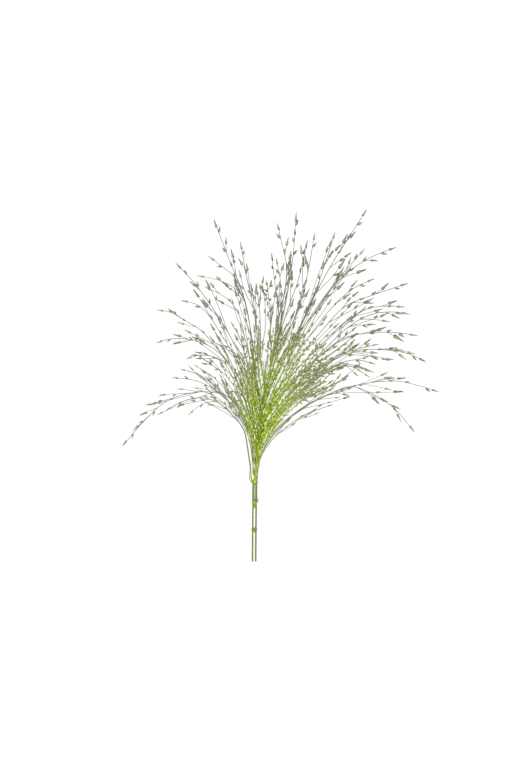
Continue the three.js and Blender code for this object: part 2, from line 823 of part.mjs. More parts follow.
// Growth goes in stages: first the culm and the primary branches, then side branches, twigs and spikelets.
const culm = [
  { spray: "culm", rings: culmRings(), sides: CULM_SIDES },
  { spray: "culm", rings: rachisRings(), sides: RACHIS_SIDES },
];
culm.forEach((limb) => placed.push(...stretchesOf(limb.rings, limb.spray)));
const sprays = [];
for (const [part, rows] of Object.entries(BRANCHES)) {
  rows.forEach((row, i) => {
    const spray = `spray_${part}_${String(i + 1).padStart(2, "0")}`;
    const branch = firstThatFits(BUNDLE_TRIES, (attempt) => primary(row, spray, attempt));
    if (!branch) throw new Error(`${spray} can't be bent clear of its neighbours`);
    sprays.push({ spray, part, row, limbs: [branch], random: randomFrom(FIRST_SEED + sprays.length) });
  });
}
for (const { row, limbs, random } of sprays) {
  limbs.push(...row.sides.map((tip) => sideBranch(limbs[0], tip, random)).filter(Boolean));
}
for (const { limbs, random } of sprays) limbs.push(...twigsOf(limbs[0], random));
const topRandom = randomFrom(FIRST_SEED - 1);
culm.push(...twigsOf(culm[1], topRandom));
for (const { limbs, random } of sprays) {
  limbs.push(...limbs.slice().flatMap((limb) => spikeletsOf(limb, random)));
}
culm.push(...culm.slice(1).flatMap((limb) => spikeletsOf(limb, topRandom)));

// Colours
const material = (color, roughness) => new THREE.MeshStandardMaterial({ color, roughness, metalness: 0 });
const culmMaterial = material("#8fa65f", 0.4);
const sheathMaterial = material("#b9c58b", 0.6);
const sprayMaterials = {
  left: material("#95a852", 0.6),
  top: material("#9db44c", 0.6),
  right: material("#8ea552", 0.6),
};

const group = new THREE.Group();
function addPiece(name, geometry, finish) {
  const mesh = new THREE.Mesh(geometry, finish);
  mesh.name = name;
  group.add(mesh);
}

addPiece("culm", fused(culm.map(sweep)), culmMaterial);
addPiece("sheath_flap", sheathFlap(), sheathMaterial);
for (const { spray, part, limbs } of sprays) {
  addPiece(spray, fused(limbs.map(sweep)), sprayMaterials[part]);
}

export default group;
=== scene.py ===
# %% [markdown]
# # A cut stem of fountain grass
#
# This lesson dresses one cut stem of fountain grass: a jointed stem that runs up into a wide, airy head of
# about fifty thin branches, with hundreds of small pointed spikelets. Plain solids of the stem and of every
# branch are already made and packed. They fix where everything is. Each one is replaced here by a finer
# piece that grows along the same lines and gets the ribs, scales and colours of the real plant.

# %% Load the fixed solids
import json
import math

import bpy
import numpy as np
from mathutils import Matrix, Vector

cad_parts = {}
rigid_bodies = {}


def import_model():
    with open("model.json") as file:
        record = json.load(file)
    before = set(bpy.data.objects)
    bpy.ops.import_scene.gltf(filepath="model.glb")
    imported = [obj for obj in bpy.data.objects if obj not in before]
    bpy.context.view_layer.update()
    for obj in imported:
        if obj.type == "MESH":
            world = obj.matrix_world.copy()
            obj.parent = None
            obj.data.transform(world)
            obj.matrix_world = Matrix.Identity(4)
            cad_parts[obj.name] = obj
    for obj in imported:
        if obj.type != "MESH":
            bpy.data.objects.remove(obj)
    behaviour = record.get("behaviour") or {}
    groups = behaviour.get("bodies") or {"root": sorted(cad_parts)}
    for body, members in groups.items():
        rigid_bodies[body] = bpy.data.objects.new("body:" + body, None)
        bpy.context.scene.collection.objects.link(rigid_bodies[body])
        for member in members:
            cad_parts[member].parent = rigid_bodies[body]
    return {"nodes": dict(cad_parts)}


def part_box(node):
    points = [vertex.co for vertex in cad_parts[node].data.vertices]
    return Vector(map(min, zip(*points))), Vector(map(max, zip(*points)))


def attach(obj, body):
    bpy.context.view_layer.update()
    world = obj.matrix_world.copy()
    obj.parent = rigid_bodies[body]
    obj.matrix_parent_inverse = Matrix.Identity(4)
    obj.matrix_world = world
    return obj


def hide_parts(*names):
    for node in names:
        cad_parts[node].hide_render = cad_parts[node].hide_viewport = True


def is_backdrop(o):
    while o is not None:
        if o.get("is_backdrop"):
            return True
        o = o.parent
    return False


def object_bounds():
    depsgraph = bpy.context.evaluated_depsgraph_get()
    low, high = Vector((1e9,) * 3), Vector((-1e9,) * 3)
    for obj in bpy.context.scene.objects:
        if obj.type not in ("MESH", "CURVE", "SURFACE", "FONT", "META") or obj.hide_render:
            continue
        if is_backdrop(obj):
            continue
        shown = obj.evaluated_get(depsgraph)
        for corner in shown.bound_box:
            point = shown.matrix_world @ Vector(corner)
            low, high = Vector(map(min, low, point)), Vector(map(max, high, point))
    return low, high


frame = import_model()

solid_low, solid_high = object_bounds()
size = [round(1000 * (high - low)) for low, high in zip(solid_low, solid_high)]
print(len(frame["nodes"]), "solids, together", size, "mm")

# %% [markdown]
# ## The camera
#
# The stem lies on a table and is seen from straight above. One pixel of the picture covers 0.9 mm of the
# table, which comes from the size of the spikelets. A lens could stand close and wide, but then the
# branches that rise towards it would look larger than those on the table. A long lens from almost six
# metres keeps them alike.

# %% Set up the camera
MM = 0.001  # the lesson counts in millimetres, Blender in metres
PICTURE_HEIGHT = 768
PIXEL_ON_TABLE = 0.9
PICTURE_CENTRE = (-22.05, 1.35)  # where on the table the middle of the picture looks
MIDDLE_HEIGHT = 18  # the picture has its true scale at this height over the table
LENS = 300
SENSOR = 36
SIGHT = 50  # the camera sees this far, in metres

camera = bpy.data.objects.new("camera", bpy.data.cameras.new("camera"))
camera.data.lens = LENS
camera.data.sensor_width = SENSOR
camera.data.clip_end = SIGHT
distance = PICTURE_HEIGHT * PIXEL_ON_TABLE * LENS / SENSOR
camera.location = (PICTURE_CENTRE[0] * MM, PICTURE_CENTRE[1] * MM, (MIDDLE_HEIGHT + distance) * MM)
bpy.context.scene.collection.objects.link(camera)
bpy.context.scene.camera = camera
print("the camera looks down from", round(camera.location.z, 2), "m")

# %% [markdown]
# ## Light and floor
#
# Thin stems need light from all round, or half of them drown in each other's shadows. So the whole sky is
# an even white, and one broad sun from above adds the soft gleam along the stems. The floor has to come out
# plain white and without shadows. More light on a white floor would do that too, but whatever is brighter
# than white spreads in the picture and eats thin stems away. So the floor is a grey board that glows by
# itself, as a table lit from below does, and with the light that falls on it, it comes out just white.

# %% Light the studio
SKY_STRENGTH = 1.15
SUN_STRENGTH = 1.5
SUN_WIDTH = 20  # degrees across, so that its shadows are soft
SUN_TILT = (6, -8)  # degrees off the vertical

sky = bpy.data.worlds.new("studio sky")
sky.use_nodes = True
sky.node_tree.nodes["Background"].inputs["Color"].default_value = (1, 1, 1, 1)
sky.node_tree.nodes["Background"].inputs["Strength"].default_value = SKY_STRENGTH
bpy.context.scene.world = sky

sun = bpy.data.objects.new("sun", bpy.data.lights.new("sun", "SUN"))
sun.data.energy = SUN_STRENGTH
sun.data.angle = math.radians(SUN_WIDTH)
sun.rotation_euler = (math.radians(SUN_TILT[0]), math.radians(SUN_TILT[1]), 0)
bpy.context.scene.collection.objects.link(sun)
bpy.context.scene.view_settings.view_transform = "Standard"  # white stays white and greens stay fresh
print("sky", SKY_STRENGTH, "and sun", SUN_STRENGTH)

# %% Lay the floor
FLOOR_HALF = 4.0  # metres
FLOOR_DROP = 0.2  # millimetres under the plant, so that no two faces lie in one plane

floor_mesh = bpy.data.meshes.new("floor")
square = ((-1, -1), (1, -1), (1, 1), (-1, 1))
corners = [(x * FLOOR_HALF, y * FLOOR_HALF, -FLOOR_DROP * MM) for x, y in square]
floor_mesh.from_pydata(corners, [], [(0, 1, 2, 3)])
floor = bpy.data.objects.new("floor", floor_mesh)
bpy.context.scene.collection.objects.link(floor)
floor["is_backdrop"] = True
print("floor laid,", 2 * FLOOR_HALF, "m across")

# %% [markdown]
# ## The plan of the branches
#
# The solids were grown by a plan and a rule, and this lesson follows both again, so that every fine branch
# lies exactly where its solid lies. The plan has a row for each branch that leaves the main stem: where it
# leaves, how high its tip ends above the table, its route seen from above, and the tips of its side
# branches. Everything is in millimetres: +Y runs up the stem, +X to its right, and the table is at zero.

# %% Write down the main stem
AXIS = [  # points of its middle line
    (-23.8, -158.6, 2.05), (-23.6, -130, 7.3), (-23.3, -105.8, 11.8), (-23, -86.4, 15.4),
    (-21.2, -62.6, 19.6), (-18, -35.6, 24.2), (-14, -8.6, 28.5), (-8.6, 18.5, 32.5),
    (-2.3, 42.8, 36), (3.2, 68, 39), (7.7, 92.3, 41.5), (11.3, 117.5, 43), (14.1, 156.1, 44),
]
JOINTS = (-129.7, -105.9, -86.7)  # where the stem is swollen, the last one at the foot of the head
CULM_RADIUS = 2.05
SHEATHED_RADIUS = 2.2  # the stretches that a leaf sheath still wraps
JOINT_SWELLING = 0.3
JOINT_BULGE = 0.8  # a joint is at its thickest for this far to both sides, and ends at its reach
JOINT_REACH = 2.4
RACHIS_FOOT_RADIUS = 1.3  # the rachis is the main stem inside the head
RACHIS_TIP_RADIUS = 0.45
RACHIS_ROOT = -90
RACHIS_STEP = 12
print("the stem from the cut end to its top branch is planned with", len(AXIS), "points")

# %% [markdown]
# Each row of the plan stands for one branch. It says where the branch leaves the stem, how high its tip
# ends, the points of its route, and the tips of its side branches. The routes were read off branch by
# branch, where the tips can be told apart. The plan is kept in three lists, as the head is seen.

# %% Plan the branches that fall to the left
LEFT_BRANCHES = [
    (-86.2, 1.3, [(-27.2, -80), (-27, -74), (-28.2, -66), (-30, -54), (-33, -40), (-44, -26), (-57, -15),
     (-72, -11), (-90, -15), (-104, -23)],
     [(-83, -27), (-66, -16)]),
    (-77, 1.3, [(-27, -46), (-31, -34), (-44, -12), (-61, -6), (-82, -7), (-104, -15), (-123, -32),
     (-143, -55)],
     [(-127, -27), (-119, -18), (-110, -9), (-93, -3)]),
    (-80, 62, [(-29, -46), (-39, -27), (-53, -14), (-62, -8), (-74, -4)],
     [(-68, 0), (-70, -9)]),
    (-72, 40, [(-28, -45), (-38, -27), (-53, -9), (-72, 3), (-85, 6), (-97, 7)],
     [(-71, 9), (-79, -2)]),
    (-69, 22, [(-29, -40), (-40, -22), (-53, -7), (-72, 9), (-91, 15)],
     [(-83, 18)]),
    (-65, 66, [(-28, -38), (-38, -18), (-49, -4), (-61, 8), (-78, 19)],
     [(-72, 14)]),
    (-63, 82, [(-27, -35), (-36, -11), (-44, 10), (-51, 21), (-61, 26), (-71, 27), (-84, 24)],
     [(-81, 27), (-77, 30), (-70, 30)]),
    (-60, 104, [(-27, -36), (-34, -17), (-41, -2), (-49, 9), (-58, 16), (-71, 25)],
     [(-71, 20), (-64, 24), (-54, 20)]),
    (-56, 36, [(-27, -29), (-35, -6), (-44, 14), (-54, 28), (-65, 36), (-81, 41), (-98, 42), (-112, 38)],
     [(-97, 46), (-97, 37), (-77, 44), (-64, 45)]),
    (-52, 20, [(-26, -26), (-33, -2), (-44, 17), (-57, 33), (-72, 50), (-87, 59), (-99, 66), (-112, 68)],
     [(-101, 69), (-93, 57)]),
    (-49, 58, [(-26, -20), (-32, 2), (-42, 27), (-53, 45), (-63, 61), (-74, 72), (-89, 76)],
     [(-78, 86)]),
    (-42, 1.3, [(-25, -13), (-33, 18), (-44, 42), (-58, 65), (-69, 81), (-79, 94), (-95, 111)],
     [(-82, 94), (-72, 77)]),
    (-45, 88, [(-25, -15), (-30, 5), (-36, 21), (-44, 32), (-51, 36)],
     [(-58, 38)]),
    (-40, 108, [(-24, -11), (-27, 5), (-31, 18), (-36, 29), (-43, 40)],
     [(-43, 27), (-34, 44)]),
    (-67, 10, [(-28, -40), (-36, -24), (-45, -12), (-53, 5)],
     [(-50, 6)]),
    (-37, 5, [(-25, -7), (-28, 12), (-32, 27), (-36, 41), (-45, 58)],
     [(-36, 57)]),
    (-31, 78, [(-24, -2), (-28, 25), (-33, 47), (-38, 65), (-46, 76), (-57, 83), (-68, 88)],
     [(-63, 92)]),
    (-22, 55, [(-22, 9), (-26, 41), (-30, 68), (-35, 85), (-42, 98), (-53, 107), (-65, 116)],
     [(-75, 98), (-54, 94)]),
    (-26, 28, [(-23, 5), (-25, 36), (-30, 66), (-36, 89), (-45, 110), (-53, 131), (-60, 149)],
     [(-49, 134)]),
]
print(len(LEFT_BRANCHES), "branches that fall to the left")

# %% Plan the branches that rise to the top
TOP_BRANCHES = [
    (-16, 72, [(-20, 14), (-21, 45), (-25, 72), (-30, 95), (-36, 128)],
     [(-38, 114)]),
    (-6, 100, [(-18, 21), (-18, 45), (-19, 68), (-22, 91)],
     [(-15, 98), (-27, 84)]),
    (30, 74, [(-1, 63), (4, 86), (5, 108), (0, 131), (-3, 145)],
     [(7, 133)]),
    (18, 96, [(-4, 45), (0, 70), (0, 90), (-4, 113)],
     [(3, 109)]),
    (12, 48, [(-2, 41), (7, 70), (16, 95), (24, 130)],
     [(18, 126)]),
    (-2, 30, [(-3, 27), (9, 52), (18, 75), (24, 99), (31, 138)],
     [(22, 117)]),
    (23, 108, [(-9, 45), (-9, 66), (-13, 93)],
     [(-8, 94), (-17, 85)]),
    (-9, 60, [(-3, 18), (13, 45), (27, 72), (36, 98), (49, 138)],
     [(54, 126)]),
]
print(len(TOP_BRANCHES), "branches that rise to the top")

# %% Plan the branches that fall to the right
RIGHT_BRANCHES = [
    (-20, 1.3, [(-5, 7), (13, 41), (29, 77), (46, 109), (60, 131), (78, 159)],
     [(68, 139), (64, 120)]),
    (-17, 84, [(-4, 12), (15, 43), (34, 72), (48, 91), (75, 122)],
     [(63, 115)]),
    (-27, 44, [(-5, -2), (12, 32), (28, 61), (45, 86), (61, 102), (81, 115), (104, 124)],
     [(88, 112), (77, 104)]),
    (-31, 92, [(-4, -6), (13, 26), (30, 50), (46, 70), (64, 86), (83, 95)],
     [(68, 94)]),
    (-35, 24, [(-5, -9), (14, 21), (36, 48), (58, 71), (85, 82), (115, 92)],
     [(84, 74), (97, 92)]),
    (-38, 62, [(-5, -13), (15, 14), (37, 37), (58, 57), (76, 68), (94, 71), (111, 70)],
     [(104, 76)]),
    (-42, 38, [(-4, -15), (18, 10), (43, 36), (63, 54), (82, 64), (100, 66), (116, 64)],
     [(107, 60), (98, 57), (86, 55)]),
    (-40, 104, [(-4, -13), (14, 7), (30, 22), (45, 34), (67, 52)],
     [(54, 49), (51, 36)]),
    (-47, 1.3, [(-4, -22), (18, 5), (37, 28), (56, 42), (76, 47), (100, 48), (124, 45)],
     [(111, 40), (96, 53)]),
    (-44, 118, [(-8, -20), (3, -6), (14, 6), (28, 19)],
     [(22, 21), (34, 14)]),
    (-51, 68, [(-6, -24), (12, -4), (32, 16), (52, 27), (70, 33), (88, 37)],
     [(65, 38), (87, 29)]),
    (-54, 34, [(-7, -27), (12, -7), (31, 12), (51, 25), (72, 32), (94, 32), (113, 29), (131, 21)],
     [(121, 28), (105, 34), (113, 23), (98, 22)]),
    (-58, 100, [(-8, -33), (9, -15), (25, 1), (39, 13), (60, 20)],
     [(47, 23), (54, 15)]),
    (-60, 50, [(-7, -35), (11, -15), (31, 5), (49, 18), (67, 23), (85, 19)],
     [(79, 26), (73, 16)]),
    (-63, 14, [(-9, -38), (9, -18), (27, 1), (45, 13), (61, 18), (81, 7)],
     [(70, 8), (84, 12)]),
    (-69, 80, [(-12, -47), (2, -29), (20, -13), (38, -3), (59, 6)],
     [(54, 11), (47, 5)]),
    (-65, 96, [(-13, -44), (-2, -27), (10, -14), (23, -5), (41, 4)],
     [(36, 7), (29, 4)]),
    (-53, 6, [(-9, -33), (2, -19), (14, -10), (33, -9)],
     [(27, -15)]),
    (-74, 24, [(-14, -54), (0, -36), (18, -21), (45, -7), (72, 1), (103, 4), (124, 0), (143, -6)],
     [(113, 7), (100, 8), (100, -4)]),
    (-79, 1.3, [(-16, -60), (-1, -39), (17, -23), (40, -10), (63, -1), (82, -7), (102, -20), (121, -42)],
     [(109, -33), (89, -17), (62, -9), (54, -11)]),
    (-81, 18, [(-17, -65), (-5, -47), (9, -35), (23, -26), (47, -17)],
     [(39, -16), (30, -23), (15, -32)]),
]
print(len(RIGHT_BRANCHES), "branches that fall to the right")

# %% Put the three lists together
BRANCHES = {"left": LEFT_BRANCHES, "top": TOP_BRANCHES, "right": RIGHT_BRANCHES}
print(sum(len(rows) for rows in BRANCHES.values()), "branches are planned")

# %% [markdown]
# ## Lines in space
#
# Everything on the plant follows a line: the stem, its branches, the stalks. Blender's own curves could
# hold them, but the growing rule keeps asking where a point lies so many millimetres along, and which way
# the line runs there. A small class that keeps the distance to each of its points answers that quickly.

# %% Make a line that can be measured along
DIRECTION_REACH = 5.0  # a direction is taken from this far before a place to this far past it


def unit(direction):
    return direction / np.linalg.norm(direction)


def lerp(low, high, share):
    return (1 - share) * low + share * high


class Line:
    def __init__(self, points):
        self.points = np.asarray(points, dtype=float)
        steps = np.linalg.norm(np.diff(self.points, axis=0), axis=1)
        self.far = np.concatenate([[0.0], np.cumsum(steps)])
        self.length = self.far[-1]

    def at(self, distance):
        wanted = min(max(distance, 0.0), self.length)
        i = min(max(int(np.searchsorted(self.far, wanted)), 1), len(self.far) - 1)
        share = (wanted - self.far[i - 1]) / (self.far[i] - self.far[i - 1])
        return self.points[i - 1] + (self.points[i] - self.points[i - 1]) * share

    def direction(self, distance, reach=DIRECTION_REACH):
        return unit(self.at(distance + reach) - self.at(distance - reach))


hook = Line([(0, 0), (30, 0), (30, 40)])
print("a hooked line is", hook.length, "mm long, and 40 mm along it is the point", hook.at(40))

# %% [markdown]
# The points of the plan are joined by a smooth curve that runs through every one of them. Between two
# points it is a cubic, whose direction at each end comes from the neighbouring points. The pace follows the
# root of the distances, so the curve makes no loops where two points lie close together.

# %% Draw a smooth line through points
STEPS_PER_POINT = 20


def smooth_line(points):
    points = np.asarray(points, dtype=float)
    last = len(points) - 1
    steps = STEPS_PER_POINT * len(points)
    place = last * (np.arange(steps + 1) / steps)
    i = np.minimum(place.astype(int), last - 1)
    share = (place - i)[:, None]
    padded = np.vstack([2 * points[0] - points[1], points, 2 * points[-1] - points[-2]])
    before, here, there, after = (padded[i + k] for k in range(4))
    pairs = ((before, here), (here, there), (there, after))
    pace = [np.sqrt(np.linalg.norm(q - p, axis=1))[:, None] for p, q in pairs]
    leave = (here - before) / pace[0] - (there - before) / (pace[0] + pace[1]) + (there - here) / pace[1]
    arrive = (there - here) / pace[1] - (after - here) / (pace[1] + pace[2]) + (after - there) / pace[2]
    leave, arrive = leave * pace[1], arrive * pace[1]
    square = 3 * (there - here) - 2 * leave - arrive
    cube = 2 * (here - there) + leave + arrive
    return Line(here + share * (leave + share * (square + share * cube)))


axis_line = smooth_line(AXIS)
print("the main stem is", round(axis_line.length), "mm long")

# %% [markdown]
# The main stem is where every branch starts, so the rule often asks where its middle is, which way it runs
# and how thick it is. Branches leave it in all directions, and those are found by turning: a direction
# across the stem is turned round it, or the stem's own direction is leaned to one side.

# %% Find places on the main stem
PANICLE_FOOT = JOINTS[-1]
CLOSE_BY = 2  # the stem's direction is taken from this far below a place to this far above it


def axis_at(y):
    along = axis_line.points[:, 1]
    i = int(np.clip(np.searchsorted(along, y), 1, len(along) - 1))
    low, high = axis_line.points[i - 1], axis_line.points[i]
    return low + (high - low) * (y - low[1]) / (high[1] - low[1])


def axis_direction(y):
    return unit(axis_at(y + CLOSE_BY) - axis_at(y - CLOSE_BY))


def axis_radius(y):
    if y < PANICLE_FOOT + JOINT_REACH:
        return SHEATHED_RADIUS + JOINT_SWELLING
    return lerp(RACHIS_FOOT_RADIUS, RACHIS_TIP_RADIUS, (y - PANICLE_FOOT) / (AXIS[-1][1] - PANICLE_FOOT))


print("the head's foot is at", [round(float(value), 1) for value in axis_at(PANICLE_FOOT)])

# %% Turn directions
UP = np.array([0.0, 0.0, 1.0])


def across_from(along, wish):
    """Two directions across `along`: the one nearest to `wish`, and the one square to both."""
    side = unit(wish - along * (wish @ along))
    return side, np.cross(along, side)


def turned(along, wish, angle):
    """A direction across `along`, turned by an angle from the one nearest to `wish`."""
    side, across = across_from(along, wish)
    return side * math.cos(angle) + across * math.sin(angle)


def turned_to(along, wish, angle):
    """A direction that leans by an angle from `along` towards `wish`."""
    return along * math.cos(angle) + across_from(along, wish)[0] * math.sin(angle)


stem_rise = math.degrees(math.asin(axis_direction(JOINTS[0])[2]))
print("the stem rises from the table at", round(stem_rise), "degrees")

# %% [markdown]
# ## Keeping clear
#
# Branches that cross each other would look like wire, so the rule keeps a list of every straight stretch
# placed so far, and a new limb stays only where it is clear of all of them. Blender could test meshes
# against each other, but distances between straight stretches are all that is needed, and numpy compares
# one with thousands at once. The gap between two stretches is the one between their nearest points, which
# is found along the first stretch, then along the second, and then once more along the first.

# %% Measure the gap between straight stretches
SIDE_BY_SIDE = 1e-9  # stretches with less skew than this count as lying side by side


def gap_between(start, end, starts, ends):
    mine, theirs, apart = end - start, ends - starts, start - starts
    mine_long, theirs_long = mine @ mine, (theirs * theirs).sum(axis=1)
    shared, mine_apart, theirs_apart = theirs @ mine, apart @ mine, (theirs * apart).sum(axis=1)
    skew = mine_long * theirs_long - shared * shared
    crossing = skew > SIDE_BY_SIDE
    here = (shared * theirs_apart - mine_apart * theirs_long) / np.where(crossing, skew, 1)
    here = np.where(crossing, np.clip(here, 0, 1), 0)
    there = np.clip((shared * here + theirs_apart) / theirs_long, 0, 1)
    here = np.clip((shared * there - mine_apart) / mine_long, 0, 1)
    return np.linalg.norm(apart + mine * here[:, None] - theirs * there[:, None], axis=1)


sticks = np.array([[0, 0, 0], [9, 0, 0], [4, -5, 3], [4, 5, 3]], dtype=float)
print("two crossed sticks pass at", gap_between(*sticks[:2], sticks[2:3], sticks[3:])[0], "mm")

# %% Keep a list of all the stretches
CLEARANCE = 0.25
MOST_STRETCHES = 12000


class Thicket:
    def __init__(self):
        self.start, self.end, self.middle = (np.zeros((MOST_STRETCHES, 3)) for _ in range(3))
        self.radius, self.reach = np.zeros(MOST_STRETCHES), np.zeros(MOST_STRETCHES)
        self.owner = np.zeros(MOST_STRETCHES, dtype=int)
        self.count = 0

    def add(self, centres, radii, owner):
        start, end, radius = centres[:-1], centres[1:], np.maximum(radii[:-1], radii[1:])
        rows = slice(self.count, self.count + len(start))
        self.start[rows], self.end[rows], self.middle[rows] = start, end, start + (end - start) * 0.5
        self.radius[rows] = radius
        self.reach[rows] = np.linalg.norm(end - start, axis=1) / 2 + radius
        self.owner[rows] = owner
        self.count += len(start)

    def is_clear(self, centres, radii, owner):
        """A limb's foot stands in its own spray, so only its last stretch is kept clear of that one."""
        for i in range(len(centres) - 1):
            start, end, radius = centres[i], centres[i + 1], max(radii[i], radii[i + 1])
            reach = np.linalg.norm(end - start) / 2 + radius
            rows = slice(0, self.count)
            apart = np.linalg.norm(self.middle[rows] - (start + (end - start) * 0.5), axis=1)
            near = apart <= reach + self.reach[rows] + CLEARANCE
            if i < len(centres) - 2:
                near &= self.owner[rows] != owner
            near = np.flatnonzero(near)
            gaps = gap_between(start, end, self.start[near], self.end[near])
            if np.any(gaps <= radius + self.radius[near] + CLEARANCE):
                return False
        return True


thicket = Thicket()
print("the thicket has room for", MOST_STRETCHES, "stretches")

# %% [markdown]
# ## Limbs
#
# A limb is a branch, a twig or a spikelet on its stalk. The solids have few rings, so a limb keeps two
# lines: the coarse one through the solid's rings, which says where it stands and what it must keep clear
# of, and a fine one for the mesh. A limb that grows from another one is moved over to its parent's fine
# line at its foot, and the fine line is rounded off, because nothing on a plant turns a sharp corner.

# %% Describe a limb
EASE_LENGTH = 14  # a limb is back on its own line this far from its foot
ROUNDINGS = 5
LOWEST_LINE = 0.5  # the middle line of a limb stays this high over the table


def rounded(path):
    """The same line with a point for every millimetre and its corners smoothed away."""
    points = np.array([path.at(far) for far in np.linspace(0, path.length, max(3, round(path.length) + 1))])
    for _ in range(ROUNDINGS):
        points[1:-1] = (points[:-2] + 2 * points[1:-1] + points[2:]) / 4
    return Line(points)


class Limb:
    def __init__(self, owner, kind, centres, radii, path, parent=None, at=0.0):
        self.owner, self.kind, self.parent, self.at = owner, kind, parent, at
        self.centres, self.radii = centres, radii
        self.line = Line(centres)
        path = Line(path)
        if parent is not None:
            share = at / parent.line.length
            move = parent.fine.at(share * parent.fine.length) - path.points[0]
            fade = np.clip(1 - path.far / EASE_LENGTH, 0, 1)
            points = path.points + move * fade[:, None] ** 2
            points[:, 2] = np.maximum(points[:, 2], LOWEST_LINE)
            path = Line(points)
        self.fine = rounded(path) if kind in ("primary", "stout", "twig") else path


print("a corner rounded off keeps", len(rounded(hook).points), "points")

# %% Lay the rings of a limb
SPIKELET_RADIUS = 1.15
SPIKELET_BELLY = 0.4  # how far along a spikelet is widest
TOP_SPIKELET_LENGTH = 7.5
SIDE_SPIKELET_LENGTH = 7
TIP_HEIGHT = 0.2  # a pointed tip stays this high over the table


def above_table(centres, radii):
    centres = np.array(centres)
    radii = np.array(radii, dtype=float)
    centres[:, 2] = np.maximum(centres[:, 2], np.where(radii > 0, radii, TIP_HEIGHT))
    return centres, radii


def rings_along(line, steps, radius_at, length):
    """Even rings along a limb, and more for the spikelet of this length at its end."""
    neck = line.length - length
    centres = [line.at(neck * i / steps) for i in range(steps + 1)]
    radii = [radius_at(neck * i / steps) for i in range(steps + 1)]
    centres += [line.at(neck + SPIKELET_BELLY * length), line.at(neck + length)]
    return centres, radii + [SPIKELET_RADIUS, 0]


print("the solids' top spikelets are", TOP_SPIKELET_LENGTH, "mm long")

# %% [markdown]
# Chance gives every limb its own size and turn. The same seeds are used each time, so the stem grows the
# same way whenever the lesson runs, and the same way as the solids grew. Python has random numbers of its
# own, but the solids were made by another program, so the rule for the next number is written out.

# %% Draw chances, and place the first limb that fits
CHANCE_STEP, CHANCE_RANGE = 16807, 2 ** 31 - 1  # a well-tried pair for such a rule


def random_from(seed):
    """A repeatable run of random numbers from 0 to 1."""
    state = seed

    def draw():
        nonlocal state
        state = state * CHANCE_STEP % CHANCE_RANGE
        return state / CHANCE_RANGE

    return draw


def back_and_forth(step):
    return (step + 1) // 2 * (1 if step % 2 else -1)  # 0, 1, -1, 2, -2 and so on


def first_that_fits(tries, make):
    for attempt in range(tries):
        limb = make(attempt)
        if thicket.is_clear(limb.centres, limb.radii, limb.owner):
            thicket.add(limb.centres, limb.radii, limb.owner)
            return limb
    return None


sample = random_from(7)
print("seed 7 draws", [round(sample(), 2) for _ in range(3)])
print("places are tried in the order", [back_and_forth(step) for step in range(5)])

# %% [markdown]
# ## Primary branches
#
# A primary branch leaves the main stem on the side that its tip lies on, runs up close along it for a few
# millimetres, and then bends outwards. Each could be drawn as a curve by hand, but then no branch would make
# room for another. Here, where a neighbour is in its way, its foot moves a little along or round the stem.
# The lowest branch at the left is stout, with a swollen foot beside the collar.

# %% Say how thick a primary branch is
BRANCH_FOOT_RADIUS = 0.6
BRANCH_END_RADIUS = 0.42
TAPER_SHARE = 0.6  # a branch has thinned down after this share of its length
STOUT_RADII = (1.2, 1.3, 1.05, 0.75)
STOUT_RING_STEP = 3.5
STOUT_FOOT = 12  # the length of the stout branch's swollen foot
STOUT_THINNING = 90  # it has thinned down this far beyond its foot


def plain_radius(far, length):
    return lerp(BRANCH_FOOT_RADIUS, BRANCH_END_RADIUS, min(far / (TAPER_SHARE * length), 1))


def stout_radius(far):
    ring = far / STOUT_RING_STEP
    i = min(int(ring), len(STOUT_RADII) - 2)
    near = lerp(STOUT_RADII[i], STOUT_RADII[i + 1], min(ring - i, 1))
    return lerp(near, BRANCH_END_RADIUS, min(max((far - STOUT_FOOT) / STOUT_THINNING, 0), 1))


print("at its foot a branch is", 2 * BRANCH_FOOT_RADIUS, "mm thick, the stout one", 2 * STOUT_RADII[0], "mm")

# %% Bend a primary branch
GOLDEN_TURN = 2.4
FREE_FOOT = 0.4  # the foot's first ring stands this far off the stem
SHOULDER_RISE, SHOULDER_SPREAD = 7, 0.7
FOOT_STEP, FOOT_PLACES = 1.3, 7  # how far apart the places for a foot are, and how many there are
BUNDLE_SWING, BUNDLE_SHIFT = 0.9, 0.45  # how far a foot swings round the stem, and its bends aside
HEIGHT_EASE = 1.35  # above 1, a branch stays low at first and rises towards its tip


def primary_path(start, height, route, stout, attempt):
    start = start + FOOT_STEP * back_and_forth(attempt % FOOT_PLACES)
    foot, along = axis_at(start), axis_direction(start)
    tip = np.array([*route[-1], height])
    out = turned(along, tip - foot, BUNDLE_SWING * math.sin(attempt * GOLDEN_TURN))
    shift = turned(along, out, attempt * GOLDEN_TURN) * (BUNDLE_SHIFT * math.sqrt(attempt))
    foot_radius = max(STOUT_RADII) if stout else BRANCH_FOOT_RADIUS
    base = foot + out * (axis_radius(start) + foot_radius + FREE_FOOT)
    shoulder = base + along * SHOULDER_RISE + out * SHOULDER_SPREAD
    seen_from_above = Line([shoulder[:2], *route])
    points = []
    for (x, y), far in zip(route, seen_from_above.far[1:]):
        share = far / seen_from_above.length
        z = lerp(shoulder[2], height, share ** HEIGHT_EASE)
        points.append(np.array([x, y, z]) + shift * (1 - share))
    return smooth_line([base, *points] if stout else [base, shoulder, *points]), foot, out, along


first_start, first_height, first_route, _ = LEFT_BRANCHES[0]
stout_path = primary_path(first_start, first_height, first_route, True, 0)[0]
print("the stout branch is", round(stout_path.length), "mm long")

# %% Make its limb
BRANCH_STEP = 20
SUNK_FOOT = 1.8  # the fine branch starts this far down the stem, inside it
SUNK_SHARE = 0.4  # and this far out from the stem's middle


